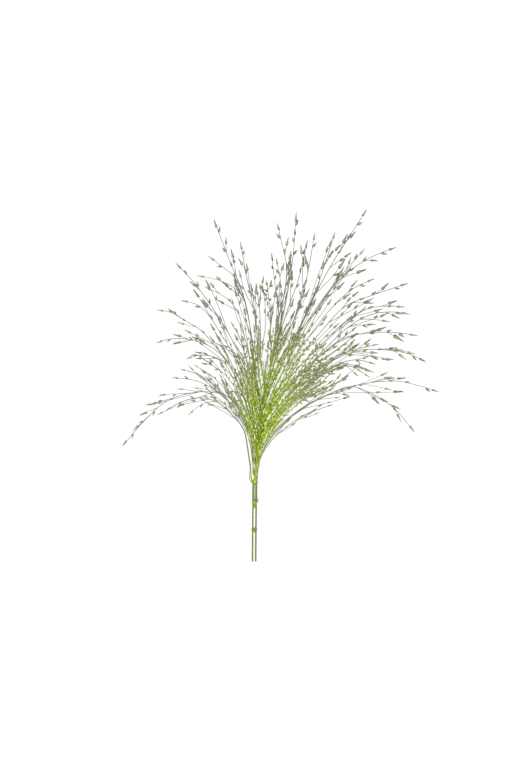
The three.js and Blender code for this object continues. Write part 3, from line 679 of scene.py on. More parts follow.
def primary(owner, row, stout, attempt):
    start, height, route, _ = row
    line, foot, out, along = primary_path(start, height, route, stout, attempt)

    def radius_at(far):
        return stout_radius(far) if stout else plain_radius(far, line.length)

    centres, radii = rings_along(line, round(line.length / BRANCH_STEP), radius_at, TOP_SPIKELET_LENGTH)
    if stout:
        swollen = [line.at(i * STOUT_RING_STEP) for i in range(len(STOUT_RADII))]
        centres, radii = swollen + centres[1:], [*STOUT_RADII, *radii[1:]]
    inside = foot + out * SUNK_SHARE * axis_radius(start) - along * SUNK_FOOT
    path = np.vstack([inside, line.points])
    path[:, 2] = np.maximum(path[:, 2], LOWEST_LINE)
    return Limb(owner, "stout" if stout else "primary", *above_table(centres, radii), path)


print("the stout branch's solid has", len(primary(1, LEFT_BRANCHES[0], True, 0).radii), "rings")

# %% [markdown]
# ## Side branches, twigs and spikelets
#
# Each of these leaves its parent at a small angle and bends towards its own tip, as grass does: nothing
# stands off square. So they all start from the same bent twig.

# %% Bend a twig
TWIG_RADIUS = 0.4
TWIG_STEP = 17
TWIG_POINTS = 25
ROOT_RISE = 1.3  # a twig has its full thickness this far from its root
LEAVING_ANGLE = 0.42  # radians
LEAVING_SHARE = 0.45  # its bend is drawn towards a point that is this share of its length ahead


def whole(value):
    """The nearest whole number. Halves go up, as they did when the solids grew."""
    return math.floor(value + 0.5)


def twig_radius(far):
    return TWIG_RADIUS


def twig(parent, at, tip):
    root = parent.line.at(at)
    leaving = turned_to(parent.line.direction(at), tip - root, LEAVING_ANGLE)
    bend = root + leaving * (LEAVING_SHARE * np.linalg.norm(root - tip))
    t = (np.arange(TWIG_POINTS) / (TWIG_POINTS - 1))[:, None]
    path = Line((1 - t) ** 2 * root + 2 * (1 - t) * t * bend + t * t * tip)
    steps = max(1, whole((path.length - TOP_SPIKELET_LENGTH) / TWIG_STEP))
    centres, radii = rings_along(path, steps, twig_radius, TOP_SPIKELET_LENGTH)
    centres, radii = [centres[0], path.at(ROOT_RISE), *centres[1:]], [0, TWIG_RADIUS, *radii[1:]]
    return Limb(parent.owner, "twig", *above_table(centres, radii), path.points, parent, at)


print("a twig leaves its branch at", round(math.degrees(LEAVING_ANGLE)), "degrees")

# %% [markdown]
# A side branch is long enough to have a tip of its own in the plan. It leaves its parent some way before
# the place that is nearest to that tip, so that it runs along with it for a while, as in the real head. The
# plan could say how high each tip ends as well, but nobody can tell that from straight above. So it ends
# near its parent's height, a little above or below it by chance.

# %% Grow a side branch to its tip in the plan
BACK_SHARE = (2.3, 3.9)  # how far before, as a share of the tip's distance from its parent
LEAST_BACK = (13, 21)  # millimetres
FIRST_LEAVING = 0.3  # but it never leaves below this share of its parent
SEARCH_STEP = 2.0
SIDE_LIFT, LOW_LIFT, HIGH_LIFT = 0.8, 4, 14  # how far its tip may end above or below its parent
SIDE_TRIES = 9
SIDE_STEP = 2.5
LOWEST_TIP = 1.3


def nearest_seen_from_above(line, x, y):
    fars = np.arange(0, line.length, SEARCH_STEP)
    points = np.array([line.at(far) for far in fars])
    gaps = np.hypot(points[:, 0] - x, points[:, 1] - y)
    best = int(np.argmin(gaps))
    return fars[best], gaps[best], points[best, 2]


def side_branch(parent, tip, draw):
    far, gap, z = nearest_seen_from_above(parent.line, *tip)
    chance = draw()
    back = max(lerp(*LEAST_BACK, chance), lerp(*BACK_SHARE, chance) * gap)
    at = max(far - back, FIRST_LEAVING * parent.line.length)
    lift = lerp(-SIDE_LIFT, SIDE_LIFT, draw()) * min(gap + LOW_LIFT, HIGH_LIFT)

    def attempt_at(attempt):
        height = max(z + lift + SIDE_STEP * back_and_forth(attempt), LOWEST_TIP)
        return twig(parent, at, np.array([*tip, height]))

    return first_that_fits(SIDE_TRIES, attempt_at)


tips = [tip for rows in BRANCHES.values() for row in rows for tip in row[3]]
print("side branches are planned for", len(tips), "tips")

# %% [markdown]
# Between the planned branches the head is filled by twigs. They could be planned one by one too, but in the
# crowd they can't be told apart, so they follow a rule alone: each next one sits further round its parent by
# the golden angle, as on a real plant, where that keeps the twigs out of each other's way. Chance decides
# how long it is and how far it spreads.

# %% Grow twigs by rule
ANY_TURN = 6  # the first twig may stand anywhere round its branch, in radians
TWIG_SPACING = 52
TWIG_ZONE = (0.2, 0.8)  # the part of its branch in which it sits
TWIG_SHARE = (0.3, 0.7)  # its length, as a share of what its branch has left from there
TWIG_SPREAD = (0.14, 0.28)  # how far its tip stands off, as a share of its length
SHORTEST_TWIG = 16
TURN_TRIES, TURN_STEP = 6, 1.1
WITH_BRANCH, WITH_BEND, LOOK_AHEAD = 0.45, 0.5, 0.7  # how much a twig follows its branch and its bend


def ruled_twig(parent, share, size, spread, turn):
    at = share * parent.line.length
    along = parent.line.direction(at)
    ahead = parent.line.direction(at + LOOK_AHEAD * size)

    def attempt_at(attempt):
        side = turned(along, UP, turn + attempt * TURN_STEP)
        tip = parent.line.at(at) + along * (WITH_BRANCH * size) + ahead * (WITH_BEND * size)
        return twig(parent, at, tip + side * (spread * size))

    return first_that_fits(TURN_TRIES, attempt_at)


def twigs_of(parent, draw):
    count = whole(parent.line.length / TWIG_SPACING)
    made, turn = [], draw() * ANY_TURN
    for i in range(count):
        share = lerp(*TWIG_ZONE, (i + draw()) / count)
        size = max((1 - share) * parent.line.length * lerp(*TWIG_SHARE, draw()), SHORTEST_TWIG)
        turn += GOLDEN_TURN
        made.append(ruled_twig(parent, share, size, lerp(*TWIG_SPREAD, draw()), turn))
    return [limb for limb in made if limb]


print("a branch bears a twig about every", TWIG_SPACING, "mm")

# %% [markdown]
# Spikelets sit one by one on short stalks along the outer part of every branch and twig. They lean forwards,
# and they go round by the golden angle too. Geometry nodes could scatter them faster, but they wouldn't keep
# clear of the limbs around them.

# %% Grow spikelets by rule
SPIKELET_SPACING = 16.5
BEARING_SHARE = 0.45  # the outer share of a limb that bears spikelets
LONGEST_BEARING = 48
SPIKELET_LEAN = 0.52
SPIKELET_REACH = 3  # it follows the direction of its limb over this far both ways
PLACE_FROM, PLACE_ROOM = 0.25, 0.5  # each keeps to the middle half of its own stretch of the limb
NEAREST_SPIKELET = 4  # to the foot of its limb


def side_spikelet(
    parent, at, turn,
    length=SIDE_SPIKELET_LENGTH, radius=SPIKELET_RADIUS, leaning=SPIKELET_LEAN, kind="spikelet",
):
    along, root = parent.line.direction(at, SPIKELET_REACH), parent.line.at(at)

    def attempt_at(attempt):
        side = turned(along, UP, turn + attempt * TURN_STEP)
        lean = unit(along + side * leaning)
        fars = (0, ROOT_RISE, ROOT_RISE + SPIKELET_BELLY * length, length)
        centres, radii = above_table([root + lean * far for far in fars], [0, TWIG_RADIUS, radius, 0])
        return Limb(parent.owner, kind, centres, radii, centres, parent, at)

    return first_that_fits(TURN_TRIES, attempt_at)


def spikelets_of(parent, draw):
    bearing = min(BEARING_SHARE * parent.line.length, LONGEST_BEARING)
    count = whole(bearing / SPIKELET_SPACING)
    made, turn = [], draw() * ANY_TURN
    for i in range(count):
        back = bearing * ((i + PLACE_FROM + PLACE_ROOM * draw()) / count)
        at = parent.line.length - TOP_SPIKELET_LENGTH - back
        turn += GOLDEN_TURN
        made.append(side_spikelet(parent, max(at, NEAREST_SPIKELET), turn))
    return [limb for limb in made if limb]


print("a limb bears spikelets on its last", LONGEST_BEARING, "mm at most")

# %% [markdown]
# ## Growing the whole head
#
# Growth goes in stages, first the branches of every spray, then their side branches, twigs and spikelets,
# so that the long limbs get their places before the small ones fill the room between them. Each spray has a
# random run of its own.

# %% Grow the main stem
CULM = 0  # the number of the stem among the owners of limbs; the sprays count from 1


def stem_rings():
    rings, below = [(AXIS[0][1], CULM_RADIUS)], CULM_RADIUS
    for i, y in enumerate(JOINTS):
        above = CULM_RADIUS if i == 0 else SHEATHED_RADIUS
        beyond = RACHIS_FOOT_RADIUS if y == PANICLE_FOOT else above
        rings += [(y - JOINT_REACH, below), (y - JOINT_BULGE, below + JOINT_SWELLING)]
        rings += [(y + JOINT_BULGE, above + JOINT_SWELLING), (y + JOINT_REACH, beyond)]
        below = above
    return np.array([axis_at(y) for y, _ in rings]), np.array([radius for _, radius in rings])


def rachis_rings():
    line = Line([p for p in axis_line.points if p[1] > RACHIS_ROOT])
    steps = whole((line.length - TOP_SPIKELET_LENGTH) / RACHIS_STEP)

    def radius_at(far):
        return axis_radius(max(line.at(far)[1], PANICLE_FOOT + JOINT_REACH))

    centres, radii = rings_along(line, steps, radius_at, TOP_SPIKELET_LENGTH)
    return np.array(centres), np.array(radii), line.points


stem_centres, stem_radii = stem_rings()
stem = Limb(CULM, "stem", stem_centres, stem_radii, stem_centres)
rachis = Limb(CULM, "rachis", *rachis_rings())
for limb in (stem, rachis):
    thicket.add(limb.centres, limb.radii, CULM)
print("the stem's solid has", len(stem_radii), "rings, and the rachis has", len(rachis.radii))

# %% Grow the primary branches
FIRST_SEED = 1000
BUNDLE_TRIES = 60
OLDEST_BELOW = -70  # sprays that leave the stem below this are the oldest, grey and bare near their feet

sprays = []
for part, rows in BRANCHES.items():
    for i, row in enumerate(rows):
        owner, stout = len(sprays) + 1, part == "left" and i == 0
        branch = first_that_fits(BUNDLE_TRIES, lambda attempt: primary(owner, row, stout, attempt))
        spray = {"name": f"spray_{part}_{i + 1:02d}", "part": part, "tips": row[3], "limbs": [branch]}
        spray |= {"old": row[0] < OLDEST_BELOW, "draw": random_from(FIRST_SEED + len(sprays))}
        sprays.append(spray)
print(len(sprays), "primary branches,", thicket.count, "stretches")

# %% Grow side branches, twigs and spikelets
for spray in sprays:
    grown = [side_branch(spray["limbs"][0], tip, spray["draw"]) for tip in spray["tips"]]
    spray["limbs"] += [limb for limb in grown if limb]
for spray in sprays:
    spray["limbs"] += twigs_of(spray["limbs"][0], spray["draw"])
top_draw = random_from(FIRST_SEED - 1)
culm_limbs = [stem, rachis, *twigs_of(rachis, top_draw)]
for spray in sprays:
    spray["limbs"] += [one for limb in list(spray["limbs"]) for one in spikelets_of(limb, spray["draw"])]
culm_limbs += [one for limb in culm_limbs[1:] for one in spikelets_of(limb, top_draw)]
print(sum(len(spray["limbs"]) for spray in sprays) + len(culm_limbs), "limbs,", thicket.count, "stretches")

# %% [markdown]
# ## Filling in
#
# The solids carry only as many spikelets as a light model can hold. The real head has more: its heart is
# crowded with short inner twigs and with young buds that sit close on the branches. They grow by the same
# rule and keep clear of everything in the same way.
#
# Where the young buds sit, and later every colour, depends on how fresh the plant is. A head like this
# ripens from its tips inwards: its heart is still yellow-green when the outer branches are grey. Weights
# painted on by hand could say so, but one formula gives every point of every piece its value without a
# seam: a cone round the main stem, widening upwards and leaning to the side that ripens last, and a weaker
# ball of green round it. The oldest sprays are the lowest ones, and they stay grey except at their feet.

# %% Tell how fresh the plant is at a point
HEART_WIDTH = (4.0, 0.2)  # at the foot of the head, and how much wider for each millimetre above it
HEART_EDGE = (0.55, 1.8)  # fresh up to the first share of that width, and no longer from the second
HEART_TOP = (58, 150)  # the same going up the stem, in millimetres above the foot of the head
HEART_LEAN = 0.06  # the cone leans this much to the right for each millimetre
HEART_FLATNESS = 0.6  # heights count for less than widths
HEART = np.array([-16.0, -24.0, 27.0])
AROUND_MIDDLE = np.array([6.0, -24.0, 27.0])
AROUND_HEART = (20, 108)  # the plant round the heart is a little fresh up to the second distance
AROUND_SHARE = 0.48
OLD_SHARES = (0.3, 0.7)  # how fresh an old spray is against a young one, and the same near its foot
OLD_FOOT = (2, 38)


def fading(value, low, high):
    return np.clip((high - value) / (high - low), 0, 1)


def freshness(points, old=False):
    """1 in the heart, less in the plant round it, and 0 where it is old and grey."""
    middle = axis_line.points
    stem_x, stem_z = (np.interp(points[:, 1], middle[:, 1], middle[:, k]) for k in (0, 2))
    above = points[:, 1] - PANICLE_FOOT
    aside = np.hypot(points[:, 0] - stem_x - HEART_LEAN * above, HEART_FLATNESS * (points[:, 2] - stem_z))
    in_cone = fading(aside / (HEART_WIDTH[0] + HEART_WIDTH[1] * np.maximum(above, 0)), *HEART_EDGE)
    around = fading(np.linalg.norm(points - AROUND_MIDDLE, axis=1), *AROUND_HEART)
    fresh = lerp(in_cone * fading(above, *HEART_TOP), around, AROUND_SHARE)
    return fresh * lerp(*OLD_SHARES, fading(above, *OLD_FOOT)) if old else fresh


for name, point in (("in the heart", HEART), ("at the highest tip", axis_line.points[-1])):
    print("freshness", name, "is", round(float(freshness(point[None])[0]), 2))

# %% Grow inner twigs
INNER_SPACING = {"left": 40, "top": 23, "right": 72}  # millimetres of branch for each twig
INNER_ZONE = {"left": (0.07, 0.32), "top": (0.1, 0.45), "right": (0.07, 0.3)}
INNER_LENGTH = (12, 24)
INNER_SPREAD = (0.08, 0.2)
RACHIS_TWIGS = 15  # the twigs that sit on the main stem itself
RACHIS_ZONE = (0.2, 0.56)
RACHIS_TWIG_LENGTH = (18, 38)
RACHIS_TWIG_SPREAD = (0.14, 0.42)


def inner_twigs_of(parent, count, zone, lengths, spreads, draw):
    made, turn = [], draw() * ANY_TURN
    for i in range(count):
        share = lerp(*zone, (i + draw()) / count)
        turn += GOLDEN_TURN
        size, spread = lerp(*lengths, draw()), lerp(*spreads, draw())
        made.append(ruled_twig(parent, share, size, spread, turn))
    return [limb for limb in made if limb]


print("inner twigs are", INNER_LENGTH[0], "to", INNER_LENGTH[1], "mm long")

# %% Grow young buds
YOUNG_LENGTH = 3.2  # a young bud in the heart of the head, with its stalk
YOUNG_RADIUS = 0.45
YOUNG_LEAN = 0.9
YOUNG_SPACING, YOUNG_STEPS = 3.4, (0.6, 1.4)  # each gap is the spacing times a share drawn by chance
YOUNG_FOOT = 9  # no bud sits nearer than this to the foot of its branch
LEAST_FRESH = 0.3


def young_buds_of(parent, draw):
    made, turn, at = [], draw() * ANY_TURN, YOUNG_FOOT + YOUNG_SPACING * draw()
    last = parent.line.length - TOP_SPIKELET_LENGTH
    while at < last and freshness(parent.line.at(at)[None])[0] > LEAST_FRESH:
        turn += GOLDEN_TURN
        made.append(side_spikelet(parent, at, turn, YOUNG_LENGTH, YOUNG_RADIUS, YOUNG_LEAN, "young"))
        at += YOUNG_SPACING * lerp(*YOUNG_STEPS, draw())
    return [limb for limb in made if limb]


print("young buds sit about every", YOUNG_SPACING, "mm where the plant is fresher than", LEAST_FRESH)

# %% Grow the main stem's own spikelets
RACHIS_SPACING, RACHIS_STEPS = 9, (0.7, 1.3)
RACHIS_BEARING = 62  # the top stretch of the main stem that bears spikelets
RACHIS_BARE = 6  # none sits nearer than this to its top spikelet
RACHIS_SLIMNESS = 0.7


def rachis_spikelets(draw):
    made, turn, at = [], draw() * ANY_TURN, rachis.line.length - TOP_SPIKELET_LENGTH - RACHIS_BARE
    while at > rachis.line.length - RACHIS_BEARING:
        turn += GOLDEN_TURN
        made.append(side_spikelet(rachis, at, turn, radius=RACHIS_SLIMNESS * SPIKELET_RADIUS))
        at -= RACHIS_SPACING * lerp(*RACHIS_STEPS, draw())
    return [limb for limb in made if limb]


print("spikelets sit about every", RACHIS_SPACING, "mm on the last", RACHIS_BEARING, "mm of the main stem")

# %% Grow them all
placed_before = thicket.count
young_sprays = [spray for spray in sprays if not spray["old"]]
for spray in young_sprays:
    branch, part = spray["limbs"][0], spray["part"]
    twig_count = whole(branch.line.length / INNER_SPACING[part])
    spray["limbs"] += inner_twigs_of(
        branch, twig_count, INNER_ZONE[part], INNER_LENGTH, INNER_SPREAD, spray["draw"],
    )
for spray in young_sprays:
    bearers = [limb for limb in spray["limbs"] if limb.kind in ("primary", "twig")]
    spray["limbs"] += [one for limb in bearers for one in young_buds_of(limb, spray["draw"])]
rachis_limbs = inner_twigs_of(
    rachis, RACHIS_TWIGS, RACHIS_ZONE, RACHIS_TWIG_LENGTH, RACHIS_TWIG_SPREAD, top_draw,
)
rachis_limbs += [one for limb in [rachis, *rachis_limbs] for one in young_buds_of(limb, top_draw)]
culm_limbs += rachis_limbs + rachis_spikelets(top_draw)
limb_count = sum(len(spray["limbs"]) for spray in sprays) + len(culm_limbs)
print(limb_count, "limbs,", thicket.count - placed_before, "new stretches")

# %% [markdown]
# ## A surface to build on
#
# Every piece is one mesh of quads. Blender's modelling tools could add the parts one by one, but nearly two
# thousand limbs go much faster as plain lists. So a small helper collects points and quads, with the finish
# of each quad and four values for each point that the finishes will read later: how fresh the plant is
# there, a chance tint, how near an edge or a furrow the point lies, and how much painted highlight it gets.

# %% Collect points and quads
BRANCH_FINISH, SPIKELET_FINISH, SKIN_FINISH, PITH_FINISH = range(4)
LOWEST = 0.05  # nothing on the plant is lower than this over the table


class Surface:
    def __init__(self, old=False):
        self.old = old
        self.points, self.quads, self.finishes, self.tint, self.edge, self.pale = [], [], [], [], [], []
        self.count = 0

    def add(self, points, quads, finish, tint, edge, pale=0.0):
        self.points.append(points)
        self.quads.append(quads + self.count)
        self.finishes.append(np.full(len(quads), finish))
        self.tint.append(np.broadcast_to(tint, len(points)))
        self.edge.append(np.broadcast_to(edge, len(points)))
        self.pale.append(np.broadcast_to(pale, len(points)))
        self.count += len(points)

    def make(self, name, finishes):
        points = np.concatenate(self.points)
        points[:, 2] = np.maximum(points[:, 2], LOWEST)
        mesh = bpy.data.meshes.new(name)
        mesh.from_pydata((points * MM).tolist(), [], np.concatenate(self.quads).tolist())
        for finish in finishes:
            mesh.materials.append(finish)
        mesh.polygons.foreach_set("material_index", np.concatenate(self.finishes).astype(np.int32))
        values = {"fresh": freshness(points, self.old), "tint": np.concatenate(self.tint)}
        values |= {"edge": np.concatenate(self.edge), "pale": np.concatenate(self.pale)}
        for key, value in values.items():
            mesh.attributes.new(key, "FLOAT", "POINT").data.foreach_set("value", value.astype(np.float32))
        mesh.shade_smooth()
        piece = bpy.data.objects.new(name, mesh)
        bpy.context.scene.collection.objects.link(piece)
        return piece


print("a point keeps: fresh, tint, edge, pale")

# %% [markdown]
# ## Round stems
#
# A branch is a tube along its line. Blender's curves with a bevel make tubes too, but here every point
# needs its own values, and the ridges that run up a grass stem need a section that is not round. So the
# rings are laid by hand: each one is turned as little as possible from the last, or the ridges would twist.

# %% Join rows of points with quads
def grid_quads(rows, columns, closed):
    across = columns if closed else columns - 1
    r, c = np.meshgrid(np.arange(rows - 1), np.arange(across), indexing="ij")
    n = (c + 1) % columns
    low, high = r * columns, (r + 1) * columns
    return np.stack([low + c, low + n, high + n, high + c], axis=-1).reshape(-1, 4)


print("a ring of 6 points and the next one are joined by", len(grid_quads(2, 6, True)), "quads")

# %% Sweep a ridged tube
FIRST_SIDE = np.array([0.4, 0.0, -1.0])  # the ring's first point is on this side, where no ridge shows
HIGHLIGHT_WIDTH = 0.33  # how far the painted highlight on a stem's upper side reaches round it, in radians
FURROW_SHADE_SHARE = 0.6  # how much of the darker edge colour a furrow gets, as painted shade


def section_frames(centres, first):
    side, frames = first, []
    for i in range(len(centres)):
        along = unit(centres[min(i + 1, len(centres) - 1)] - centres[max(i - 1, 0)])
        side, across = across_from(along, side)
        frames.append((side, across))
    return np.array(frames)


def section(frames, sides, ridge):
    """The directions from the middle to every corner, and how far out a ridge or a furrow stands."""
    angles = 2 * math.pi * np.arange(sides) / sides
    high = 1 + ridge * np.where(np.arange(sides) % 2, -1, 1)
    return frames[:, None, 0] * np.cos(angles)[:, None] + frames[:, None, 1] * np.sin(angles)[:, None], high


def tube(surface, centres, radii, sides, ridge, tint, finish=BRANCH_FINISH, highlights=0.0, highlight_width=HIGHLIGHT_WIDTH):
    """Every other corner of the section is a ridge. The upper side gets a painted highlight, as strong as
    given.
    """
    centres, radii = np.array(centres), np.array(radii)
    ring, high = section(section_frames(centres, FIRST_SIDE), sides, ridge)
    points = centres[:, None] + ring * (radii[:, None] * high)[:, :, None]
    # painted shade: every other corner, the furrow, is marked for a darker colour
    furrow = np.tile(np.arange(sides) % 2 * FURROW_SHADE_SHARE, len(centres))
    # painted highlight: strongest where the surface faces straight up, fading round the sides
    on_top = np.exp(-((np.arccos(np.clip(ring[:, :, 2], -1, 1)) / highlight_width) ** 2))
    pale = (on_top * np.broadcast_to(highlights, len(centres))[:, None]).ravel()
    surface.add(points.reshape(-1, 3), grid_quads(len(centres), sides, True), finish, tint, furrow, pale)
    return on_top


level_line = np.array([[0.0, 0.0, 0.0], [0.0, 9.0, 0.0]])
print("round a level line the rings start towards", section_frames(level_line, FIRST_SIDE)[0, 0].round(2))

# %% [markdown]
# ## A spikelet
#
# Up close a spikelet is not a seed but a bud of scales. Two boat-shaped scales, the glume and the lemma,
# face each other and end in fine points that gape a little, and a third, short scale clasps their foot. A
# sculpted almond would be quicker, but the gaping tips and the short scale are what makes it grass. Three
# buds are made once, from closed to gaping, and then set on every stalk in another size and turn.

# %% Shape one scale
SCALE_COLUMNS = 7
SCALE_PLACES = np.array([0, 0.08, 0.2, 0.34, 0.48, 0.62, 0.8, 1])
SCALE_WIDTHS = np.array([0.3, 0.65, 0.95, 1, 0.85, 0.53, 0.34, 0.13])
SCALE_DEPTHS = np.array([0.34, 0.66, 0.95, 1, 0.87, 0.55, 0.36, 0.15])
BACK_ROUNDNESS = 0.8  # below 1, the back of a scale is broader than a round one
NERVE, NERVE_EDGE = 0.06, 0.16  # the nerves of a scale stand out this much, and are this much darker
GAPE_FROM, GAPE_CURVE = 0.45, 1.6  # the scales part from here on, and bend away towards their points
THICKNESS = 0.38  # of a scale, as a share of its depth
OUTLINE = 2.0  # the higher, the narrower is the dark outline
POINT_FROM, POINT_LENGTH = 0.46, 0.26  # where the dark point starts, and over what length it fades in
INSIDE_EDGE = 0.7  # how much of the darker edge colour the inner side gets


def scale(facing, foot, tip, width, depth, gape, columns=SCALE_COLUMNS):
    place = SCALE_PLACES[:, None]
    turn = np.linspace(-1, 1, columns) * math.pi / 2
    nerves = np.arange(columns) % 2
    parted = gape * np.maximum(place - GAPE_FROM, 0) ** GAPE_CURVE
    out = depth * SCALE_DEPTHS[:, None] * np.cos(turn) ** BACK_ROUNDNESS * (1 + NERVE * nerves) + parted
    side = width * SCALE_WIDTHS[:, None] * np.sin(turn)
    outside = np.stack([facing * out, side, foot + (tip - foot) * place + 0 * side], axis=-1)
    inside = outside[:, [-1, columns // 2, 0]].copy()
    inside[:, 1, 0] = facing * (out[:, columns // 2] - (1 - THICKNESS) * depth * SCALE_DEPTHS)
    point = np.clip((place - POINT_FROM) / POINT_LENGTH, 0, 1)
    edge = np.maximum(np.abs(np.sin(turn)) ** OUTLINE + NERVE_EDGE * nerves, point) + 0 * side
    points = np.concatenate([outside.reshape(-1, 3), inside.reshape(-1, 3)])
    rows = len(SCALE_PLACES)
    quads = np.concatenate([grid_quads(rows, columns, False), grid_quads(rows, 3, False) + rows * columns])
    edges = np.concatenate([edge.ravel(), np.full(rows * 3, INSIDE_EDGE)])
    return points, quads if facing > 0 else quads[:, ::-1], edges


sample_scale = scale(facing=1, foot=0, tip=1, width=0.2, depth=0.2, gape=0)
print("a scale has", len(sample_scale[1]), "quads")

# %% Put three buds together
GAPES = (0.04, 0.12, 0.28)  # how far the points of the three buds part, as a share of their length
SCALES = [  # which way it faces, its foot and tip, half its width, its depth, and its share of the gape
    (1, 0.02, 1.0, 0.185, 0.155, 1),
    (-1, 0.0, 0.94, 0.18, 0.155, 1),
    (-1, -0.02, 0.42, 0.19, 0.17, 0.3),
]


def bud(gape):
    points, quads, edges, count = [], [], [], 0
    for facing, foot, tip, width, depth, opening in SCALES:
        p, q, e = scale(facing, foot, tip, width, depth, opening * gape)
        points.append(p)
        quads.append(q + count)
        edges.append(e)
        count += len(p)
    return np.concatenate(points), np.concatenate(quads), np.concatenate(edges)


BUDS = [bud(gape) for gape in GAPES]
print("a bud has", len(BUDS[0][1]), "quads")

# %% Set a bud on its stalk
PLUMPNESS = (0.92, 1.2)
SIDEWAYS = np.array([1.0, 0.0, 0.0])
BACK_UP = 1.1  # a bud turns its back to the sky, give or take this many radians
DRAWN_FROM = 0.56  # a drawn-out point begins here
UPRIGHT = 0.9  # a bud that points up or down by more than this turns its back sideways


def set_bud(surface, foot, towards, length, draw, plump=1.0, drawn=0.0):
    """`drawn` says how much longer its drawn-out point makes the bud."""
    points, quads, edge = BUDS[int(draw() * len(BUDS)) % len(BUDS)]
    roll, plump, tint = lerp(-BACK_UP, BACK_UP, draw()), plump * lerp(*PLUMPNESS, draw()), draw()
    side, across = across_from(towards, UP if abs(towards[2]) < UPRIGHT else SIDEWAYS)
    front = side * math.cos(roll) + across * math.sin(roll)
    right = np.cross(towards, front)
    along = points[:, 2:] + drawn * np.maximum(points[:, 2:] - DRAWN_FROM, 0) / (1 - DRAWN_FROM)
    placed = (points[:, :1] * front + points[:, 1:2] * right) * plump + along * towards
    placed = foot + placed * length / (1 + drawn)
    placed[:, 2] += max(LOWEST - placed[:, 2].min(), 0)
    surface.add(placed, quads, SPIKELET_FINISH, tint, edge)


widest = PLUMPNESS[1] * max(width for _, _, _, width, _, _ in SCALES)
print("a bud is at most", round(2 * widest, 2), "times as wide as it is long")

# %% [markdown]
# ## From limbs to meshes
#
# A branch thins towards its tip and is a little thicker at its foot, where the plant bends it outwards. The
# stout branch by the collar is thickest just above its foot. A curve with a bevel could taper too, but only
# evenly. So one function says how thick each kind of limb is at each distance from its foot.

# %% Say how thick a limb is
FINE_FOOT, FINE_END = 0.52, 0.35
FINE_TAPER = 0.45  # a branch has thinned down after this share of its length
SHOULDER, SHOULDER_AT, SHOULDER_HALF = 0.28, 4, 2.2  # how a branch swells where it bends outwards
STOUT_FINE, STOUT_TAPER = (0.75, 0.34), 80  # beyond its foot it thins down over this length
FINE_TWIG = (0.31, 0.27)  # from its foot to its tip
TWIG_SWELLING, TWIG_SWOLLEN = 0.16, 1.6  # how a twig swells at its foot, and over what length


def bell(distance, half, power=2):
    return math.exp(-((distance / half) ** power))


def branch_radius(limb, far, length):
    share = far / length
    if limb.kind == "stout":
        if far < STOUT_FOOT:
            return stout_radius(far - SUNK_FOOT)
        return lerp(*STOUT_FINE, min((far - STOUT_FOOT) / STOUT_TAPER, 1))
    if limb.kind == "primary":
        thinning = lerp(FINE_FOOT, FINE_END, min(share / FINE_TAPER, 1))
        return thinning + SHOULDER * bell(far - SHOULDER_AT, SHOULDER_HALF)
    return lerp(*FINE_TWIG, share) + TWIG_SWELLING * bell(far, TWIG_SWOLLEN)


print("a branch is", 2 * FINE_FOOT, "mm thick near its foot and", 2 * FINE_END, "mm at its tip")

# %% [markdown]
# The last stretch of a branch is the stalk of its top spikelet. It narrows just under the spikelet and
# opens into a small cup that holds it. Spikelets are full-grown at the tips and smaller in the heart, where
# they are young.

# %% Mesh a branch with its top spikelet
RING_STEP, FOOT_RING_STEP = 4.0, 0.9
FOOT_BEND, TWIG_BEND = 12, 3  # the bend at a foot is this long and needs closer rings
RIDGE = 0.07
THICK_SIDES, THIN_SIDES = 8, 6
OLD_SLIMNESS = 0.93  # an old branch has dried to this share of a young one's thickness
NECK = 1.3  # the last bit of a branch, where it narrows to a stalk
NECK_RADIUS, CUP_RADIUS = 0.22, 0.28
CUP_DEPTH = 0.25
FOOT_HIGHLIGHT_AT, FOOT_HIGHLIGHT_HALF, FOOT_HIGHLIGHT_WIDTH = 6, 4.5, 0.7  # a painted highlight lies on top of the stout branch's swollen foot
TOP_BUD, TOP_DRAWN, TOP_PLUMPNESS = 9.4, 0.42, 1.06
TOP_BUD_SIZES = (0.8, 1.2)
LARGEST_SHARE = 0.6  # of a twig, for the spikelet at its end
BUD_REACH = 2.0  # its direction is taken from this far below its middle to this far above it
YOUNG_SIZE = 0.6  # in the heart of the head the spikelets are this share of a full-grown one
HALF_GROWN = (50, 155)  # they grow larger from the first distance round the heart to the second


def growth_at(point):
    return lerp(1, YOUNG_SIZE, fading(np.linalg.norm(point - HEART), *HALF_GROWN))


def mesh_branch(surface, limb, draw):
    length, thick = limb.fine.length, limb.kind in ("primary", "stout")
    bud_length = TOP_BUD * lerp(*TOP_BUD_SIZES, draw()) * growth_at(limb.fine.points[-1])
    bud_length = min(bud_length, LARGEST_SHARE * length)
    neck = length - bud_length
    bent = min(FOOT_BEND if thick else TWIG_BEND, neck / 2)
    near = np.arange(0, bent, FOOT_RING_STEP)
    straight = np.linspace(bent, neck - NECK, max(3, round((neck - bent) / RING_STEP)))
    fars = [*near, *straight, neck, neck + CUP_DEPTH]
    slimness = OLD_SLIMNESS if surface.old and limb.kind != "stout" else 1
    radii = [slimness * branch_radius(limb, far, length) for far in fars[:-2]]
    radii += [NECK_RADIUS, CUP_RADIUS]
    centres = [limb.fine.at(far) for far in fars]
    # the painted highlight on top of the stout branch's foot
    highlights = [bell(far - FOOT_HIGHLIGHT_AT, FOOT_HIGHLIGHT_HALF, 4) if limb.kind == "stout" else 0 for far in fars]
    sides = THICK_SIDES if thick else THIN_SIDES
    tube(surface, centres, radii, sides, RIDGE, draw(), highlights=highlights, highlight_width=FOOT_HIGHLIGHT_WIDTH)
    towards = limb.fine.direction(length - bud_length / 2, BUD_REACH)
    set_bud(surface, centres[-1], towards, bud_length, draw, TOP_PLUMPNESS, TOP_DRAWN)


print("a top spikelet is", TOP_BUD, "mm long, and in the heart", round(TOP_BUD * YOUNG_SIZE, 1), "mm")

# %% [markdown]
# A side spikelet stands off its branch on a short stalk of its own. The young buds in the heart are the
# same, only shorter and plumper, because their scales haven't parted yet.

